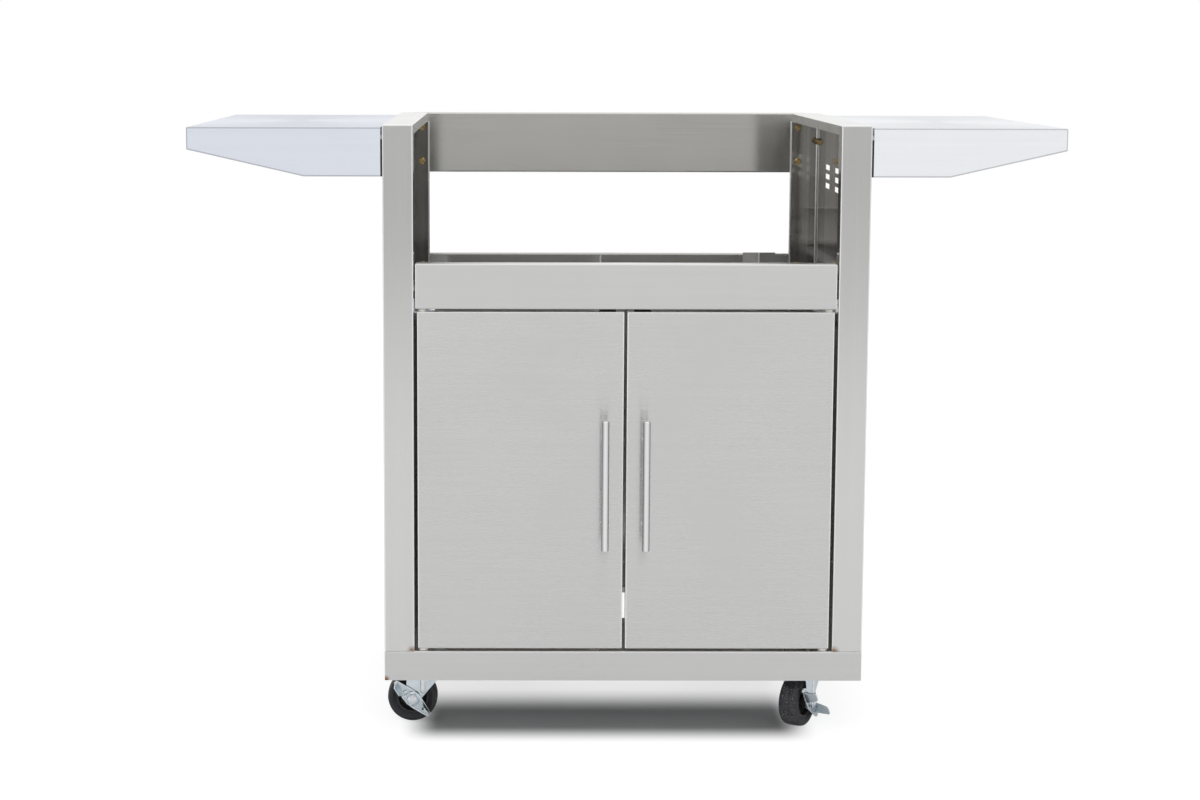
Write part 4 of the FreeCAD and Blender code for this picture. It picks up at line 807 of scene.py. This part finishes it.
# Doors: a folded stainless skin brushed along the cart, its upright folds carrying painted highlights, with a
# flat liner riveted in at the back, painted darker as shade inside the cabinet. Nylon bushes carry each on
# its pins, and a small plate meets the magnet.
nylon = moulded_plastic("natural_nylon", (0.62, 0.61, 0.56), 0.40)
skin_low, skin_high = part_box("right_door_skin")
door_steel = brushed_steel("door_brushed_steel", FRONT_TONE, 0.27, ALONG_CART,
                           highlighted=fold_highlights(skin_low.y, [skin_low.x, skin_high.x]))
liner_shade_steel = brushed_steel("liner_painted_shade_steel", (0.58, 0.575, 0.56), 0.34, UPRIGHT, metal=0.65)
LINER_BACK, RIVET_INSET, RIVET_ROWS = -269.0, 14.0, 5
RIVET = [(3.2, -0.05), (3.1, 0.35), (2.5, 0.8), (1.5, 1.05), (0.9, 1.0), (0.7, 0.6)]
for word, _ in SIDES:
    low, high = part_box(f"{word}_door_liner")
    dress(f"{word}_door_skin", door_steel)
    dress(f"{word}_door_liner", liner_shade_steel)
    dress(f"{word}_hinge_bushes", nylon)
    dress(f"{word}_strike_plate", zinc)
    dress(f"{word}_handle_screws", yellow_zinc)
    shape = bmesh.new()
    left, right = low.x / MM + RIVET_INSET, high.x / MM - RIVET_INSET
    foot, head = low.z / MM + RIVET_INSET, high.z / MM - 2 * RIVET_INSET
    for row in range(RIVET_ROWS):
        height = foot + (head - foot) * row / (RIVET_ROWS - 1)
        for x in (left, right):
            turned(shape, RIVET, shifted(x, LINER_BACK, height) @ FACING["back"], 24)
    piece(f"{word}_liner_rivets", shape, satin_bar, f"{word}_door")


# Door handles: a round bar on two turned posts, screwed from inside the door.
# The bar is polished along its length, with a painted highlight down its front and painted shade along its
# flanks.
BAR_X, BAR_RADIUS = 0.0302, 0.0055
BAR_FRONT_HIGHLIGHT, BAR_FLANK_SHADE, DRAW_LINE = (0.99, 0.99, 0.99, 1), (0.26, 0.26, 0.27, 1), (0.55, 0.55, 0.56, 1)


def drawn_bar(name):
    """Polished bar stock: long draw lines, a painted highlight down its front and painted shade along its
    flanks.
    """
    finish, material = new_finish(name)
    lines = finish.cloud((1500, 1500, 3), 2.0)
    flank_shade = finish.ramp(abs(abs(finish.axis("X")) - BAR_X), BAR_RADIUS * 0.2, BAR_RADIUS * 0.98)
    marks = finish.cloud((60, 60, 60), 3.0)
    colour = finish.blend(flank_shade * (0.7 + lines * 0.6), BAR_FRONT_HIGHLIGHT, BAR_FLANK_SHADE)
    colour = finish.blend(finish.ramp(lines, 0.5, 0.7) * 0.25, colour, DRAW_LINE)
    finish.surface({"Base Color": colour, "Metallic": 1.0, "Roughness": marks * 0.06 + lines * 0.06 + 0.04},
                   lines, 0.00004)
    return material


bar_steel = drawn_bar("drawn_bar_steel")
for word, _ in SIDES:
    dress(f"{word}_handle_bar", bar_steel)
    dress(f"{word}_handle_posts", satin_bar)


# Shelf brackets: pressed brackets bolted to the outside of each side panel, with an ear for the shelf's stud,
# near black as painted shade in the gap beside the shelf. The studs are steel with a lock nut behind the ear.
BRACKET_FACE, BRACKET_Z, BRACKET_GRIP = 361.0, 866.0, 4.2
BRACKET_SETBACKS, PANEL_BACK = (14, 30), 313
shape = bmesh.new()
for word, side in SIDES:
    dress(f"{word}_shelf_brackets", shade_black_zinc)
    dress(f"{word}_shelf_pivots", satin_bar)
    outwards = FACING["right" if side > 0 else "left"]
    for setback in BRACKET_SETBACKS:
        for y in (FRONT + setback, PANEL_BACK - setback):
            bolt(shape, shifted(side * BRACKET_FACE, y, BRACKET_Z) @ outwards, BRACKET_GRIP)
bracket_screws = piece("bracket_screws", shape, yellow_zinc, "cart")
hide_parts("shelf_bracket_bolts")


# Shelves: a folded leaf of bright brushed stainless with tapered skirts, stiffened underneath by a zinc hat
# section. The finish is paler and cooler than the doors; the two shelves differ in tone only as painted light
# and shade, the right lighter, and a dark line of painted shade runs along the folds and cut edges.
SHELF_LIGHT_AND_SHADE_TONES = {"left": (0.80, 0.835, 0.915), "right": (0.945, 0.965, 1.0)}
SHELF_TIP, SHELF_FLAT, EDGE_SHADE_WIDTH = 0.0325, 0.112, 0.0025
leaf_low, leaf_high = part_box("right_shelf_leaf")
TAPER = (leaf_high.z - SHELF_TIP - leaf_low.z) / (leaf_high.x - leaf_low.x - SHELF_FLAT)


def shelf_edge_shade(finish):
    """Painted shade as lines round a shelf's skirts: the fold along the top, the tapered cut and the fold at
    the tip.
    """
    outwards, up = abs(finish.axis("X")), finish.axis("Z")
    taper = outwards.maths("MAXIMUM", (outwards - leaf_low.x - SHELF_FLAT) * TAPER, 0.0)
    lines = 1 - finish.ramp(up - taper, leaf_low.z + EDGE_SHADE_WIDTH * 0.6, leaf_low.z + EDGE_SHADE_WIDTH)
    for along, edge in ((up, leaf_high.z), (outwards, leaf_high.x)):
        fold = finish.ramp(along, edge - EDGE_SHADE_WIDTH, edge - EDGE_SHADE_WIDTH * 0.6) * (
            1 - finish.ramp(along, edge - EDGE_SHADE_WIDTH * 0.12, edge - EDGE_SHADE_WIDTH * 0.04))
        lines = lines + fold - lines * fold
    return lines


for word, _ in SIDES:
    leaf_steel = brushed_steel(f"{word}_shelf_bright_steel", SHELF_LIGHT_AND_SHADE_TONES[word], 0.42, ALONG_CART,
                               drag=0.5, metal=0.04, shaded=shelf_edge_shade)
    dress(f"{word}_shelf_leaf", leaf_steel)
    dress(f"{word}_shelf_stiffener", zinc)


# Floor and studio: a plain white floor with the cart's soft shadow and a white surround, lit from above and
# from the front. The floor's glow for the camera is masked round the cart, so the shadow's outline and a lit
# band under the cart's middle are painted. The studio is darker behind the camera and far behind the cart,
# for bright steel to mirror.
SHADOW_MIDDLE, SHADOW_SIDE = -0.0215, (0.2565, 0.3185)
SHADOW_FRONT, SHADOW_BACK = (0.25, 0.34), (0.29, 0.40)
BACKLIGHT_STARTS, BACKLIGHT_ENDS, BACKLIGHT = (-0.175, -0.035), (0.03, 0.13), 0.86
FAR_FRONT, FAR_BACK = (6.5, 9.0), (4.5, 7.5)
FLOOR_WHITE, FLOOR_FAR_FRONT, FLOOR_FAR_BACK = (
    (0.95, 0.95, 0.95, 1), (0.52, 0.515, 0.50, 1), (0.05, 0.048, 0.045, 1))
SHADOW_DARK, SHADOW_PALE = (0.33, 0.33, 0.33, 1), (0.37, 0.37, 0.37, 1)
NO_GLOW, WHITE_GLOW = (0, 0, 0, 1), (0.8, 0.8, 0.8, 1)
FLOOR_SIZE = 14
floor_finish, floor_white = new_finish("white_floor")
seen = (floor_finish.node("ShaderNodeLightPath", {}, {}, "Is Camera Ray")
        + floor_finish.node("ShaderNodeLightPath", {}, {}, "Is Transmission Ray"))
scuff = floor_finish.cloud((3, 3, 3), 2.0)
deep = floor_finish.axis("Y")
beside = floor_finish.ramp(abs(floor_finish.axis("X") - SHADOW_MIDDLE), *SHADOW_SIDE)
before = floor_finish.ramp(deep * -1, *SHADOW_FRONT)
behind = floor_finish.ramp(deep, *SHADOW_BACK)
far_before = floor_finish.ramp(deep * -1, *FAR_FRONT)
far_behind = floor_finish.ramp(deep, *FAR_BACK)
backlit = (floor_finish.ramp(deep, *BACKLIGHT_STARTS) * (1 - floor_finish.ramp(deep, *BACKLIGHT_ENDS))
           * BACKLIGHT)
lit = 1 - (1 - beside) * (1 - before) * (1 - behind) * (1 - backlit)
unseen_floor = floor_finish.blend(far_before, FLOOR_WHITE, FLOOR_FAR_FRONT)
unseen_floor = floor_finish.blend(far_behind, unseen_floor, FLOOR_FAR_BACK)
seen_floor = floor_finish.blend(scuff, SHADOW_DARK, SHADOW_PALE)
glow = floor_finish.blend(lit * seen, NO_GLOW, WHITE_GLOW)
floor_finish.surface(
    {"Base Color": floor_finish.blend(seen, unseen_floor, seen_floor), "Roughness": 0.9,
     "Specular IOR Level": 0.0, "Emission Color": glow, "Emission Strength": 1.0}, scuff, 0.0)
shape = bmesh.new()
bmesh.ops.create_grid(shape, x_segments=1, y_segments=1, size=FLOOR_SIZE)
floor_mesh = bpy.data.meshes.new("studio_floor")
shape.to_mesh(floor_mesh)
shape.free()
floor_mesh.materials.append(floor_white)
floor = bpy.data.objects.new("studio_floor", floor_mesh)
bpy.context.scene.collection.objects.link(floor)

BEHIND_CAMERA, BEHIND_CART, HORIZON, OVERHEAD = (0.55, 0.97), (0.5, 0.95), (-0.02, 0.03), (0.15, 0.9)
surround = bpy.data.worlds.new("studio_surround")
bpy.context.scene.world = surround
surround.use_nodes = True
sky = Finish(surround.node_tree)
camera_ray = (sky.node("ShaderNodeLightPath", {}, {}, "Is Camera Ray")
              + sky.node("ShaderNodeLightPath", {}, {}, "Is Transmission Ray"))
glossy_ray = sky.node("ShaderNodeLightPath", {}, {}, "Is Glossy Ray")
heading = sky.node("ShaderNodeTexCoord", {}, {}, "Generated")
forwards = sky.node("ShaderNodeSeparateXYZ", {}, {0: heading}, "Y")
upwards = sky.node("ShaderNodeSeparateXYZ", {}, {0: heading}, "Z")
dark_front = sky.ramp(forwards * -1, *BEHIND_CAMERA) * 0.50
dark_back = sky.ramp(forwards, *BEHIND_CART) * (1 - sky.ramp(upwards, *HORIZON)) * 0.9
mirrored_level = (1 - dark_front - dark_back) * glossy_ray
soft_level = (1 - glossy_ray) * (1 - sky.ramp(upwards, *OVERHEAD) * 0.42)
level = (mirrored_level + soft_level) * (1 - camera_ray) + camera_ray
light = sky.node("ShaderNodeBackground", {}, {"Color": (1, 1, 1, 1), "Strength": level})
sky.node("ShaderNodeOutputWorld", {}, {"Surface": light})


def soft_light(name, place, aim, size, watts):
    """A large oblong soft light."""
    lamp = bpy.data.lights.new(name, "AREA")
    lamp.shape = "RECTANGLE"
    lamp.size, lamp.size_y = size
    lamp.energy = watts
    hung = bpy.data.objects.new(name, lamp)
    hung.location = place
    hung.rotation_euler = (Vector(aim) - Vector(place)).to_track_quat("-Z", "Y").to_euler()
    bpy.context.scene.collection.objects.link(hung)


soft_light("overhead_light", (0.0, -0.4, 3.4), (0.0, 0.0, 0.5), (3.2, 2.4), 8)
soft_light("front_light", (0.0, -4.3, 2.4), (0.0, -0.2, 0.6), (3.4, 1.6), 14)

bpy.context.scene.view_settings.view_transform = "Standard"


# Camera: straight at the doors from a little above the top and left of the middle, with a long lens.
# Its place, tilt, turn and small shift put the cart's corners close to where the photograph has them.
CAMERA_PLACE = (-0.168, -3.652, 1.030)
CAMERA_PITCH, CAMERA_YAW, CAMERA_ROLL = (math.radians(angle) for angle in (7.321, 0.195, 0.125))
lens = bpy.data.cameras.new("photograph_camera")
lens.lens = 69.05
lens.sensor_width = 36.0
lens.shift_x, lens.shift_y = 0.067, -0.05
camera = bpy.data.objects.new("photograph_camera", lens)
camera.matrix_world = (
    Matrix.Translation(CAMERA_PLACE) @ Matrix.Rotation(-CAMERA_YAW, 4, "Z")
    @ Matrix.Rotation(math.pi / 2 - CAMERA_PITCH, 4, "X") @ Matrix.Rotation(CAMERA_ROLL, 4, "Z"))
bpy.context.scene.collection.objects.link(camera)
bpy.context.scene.camera = camera
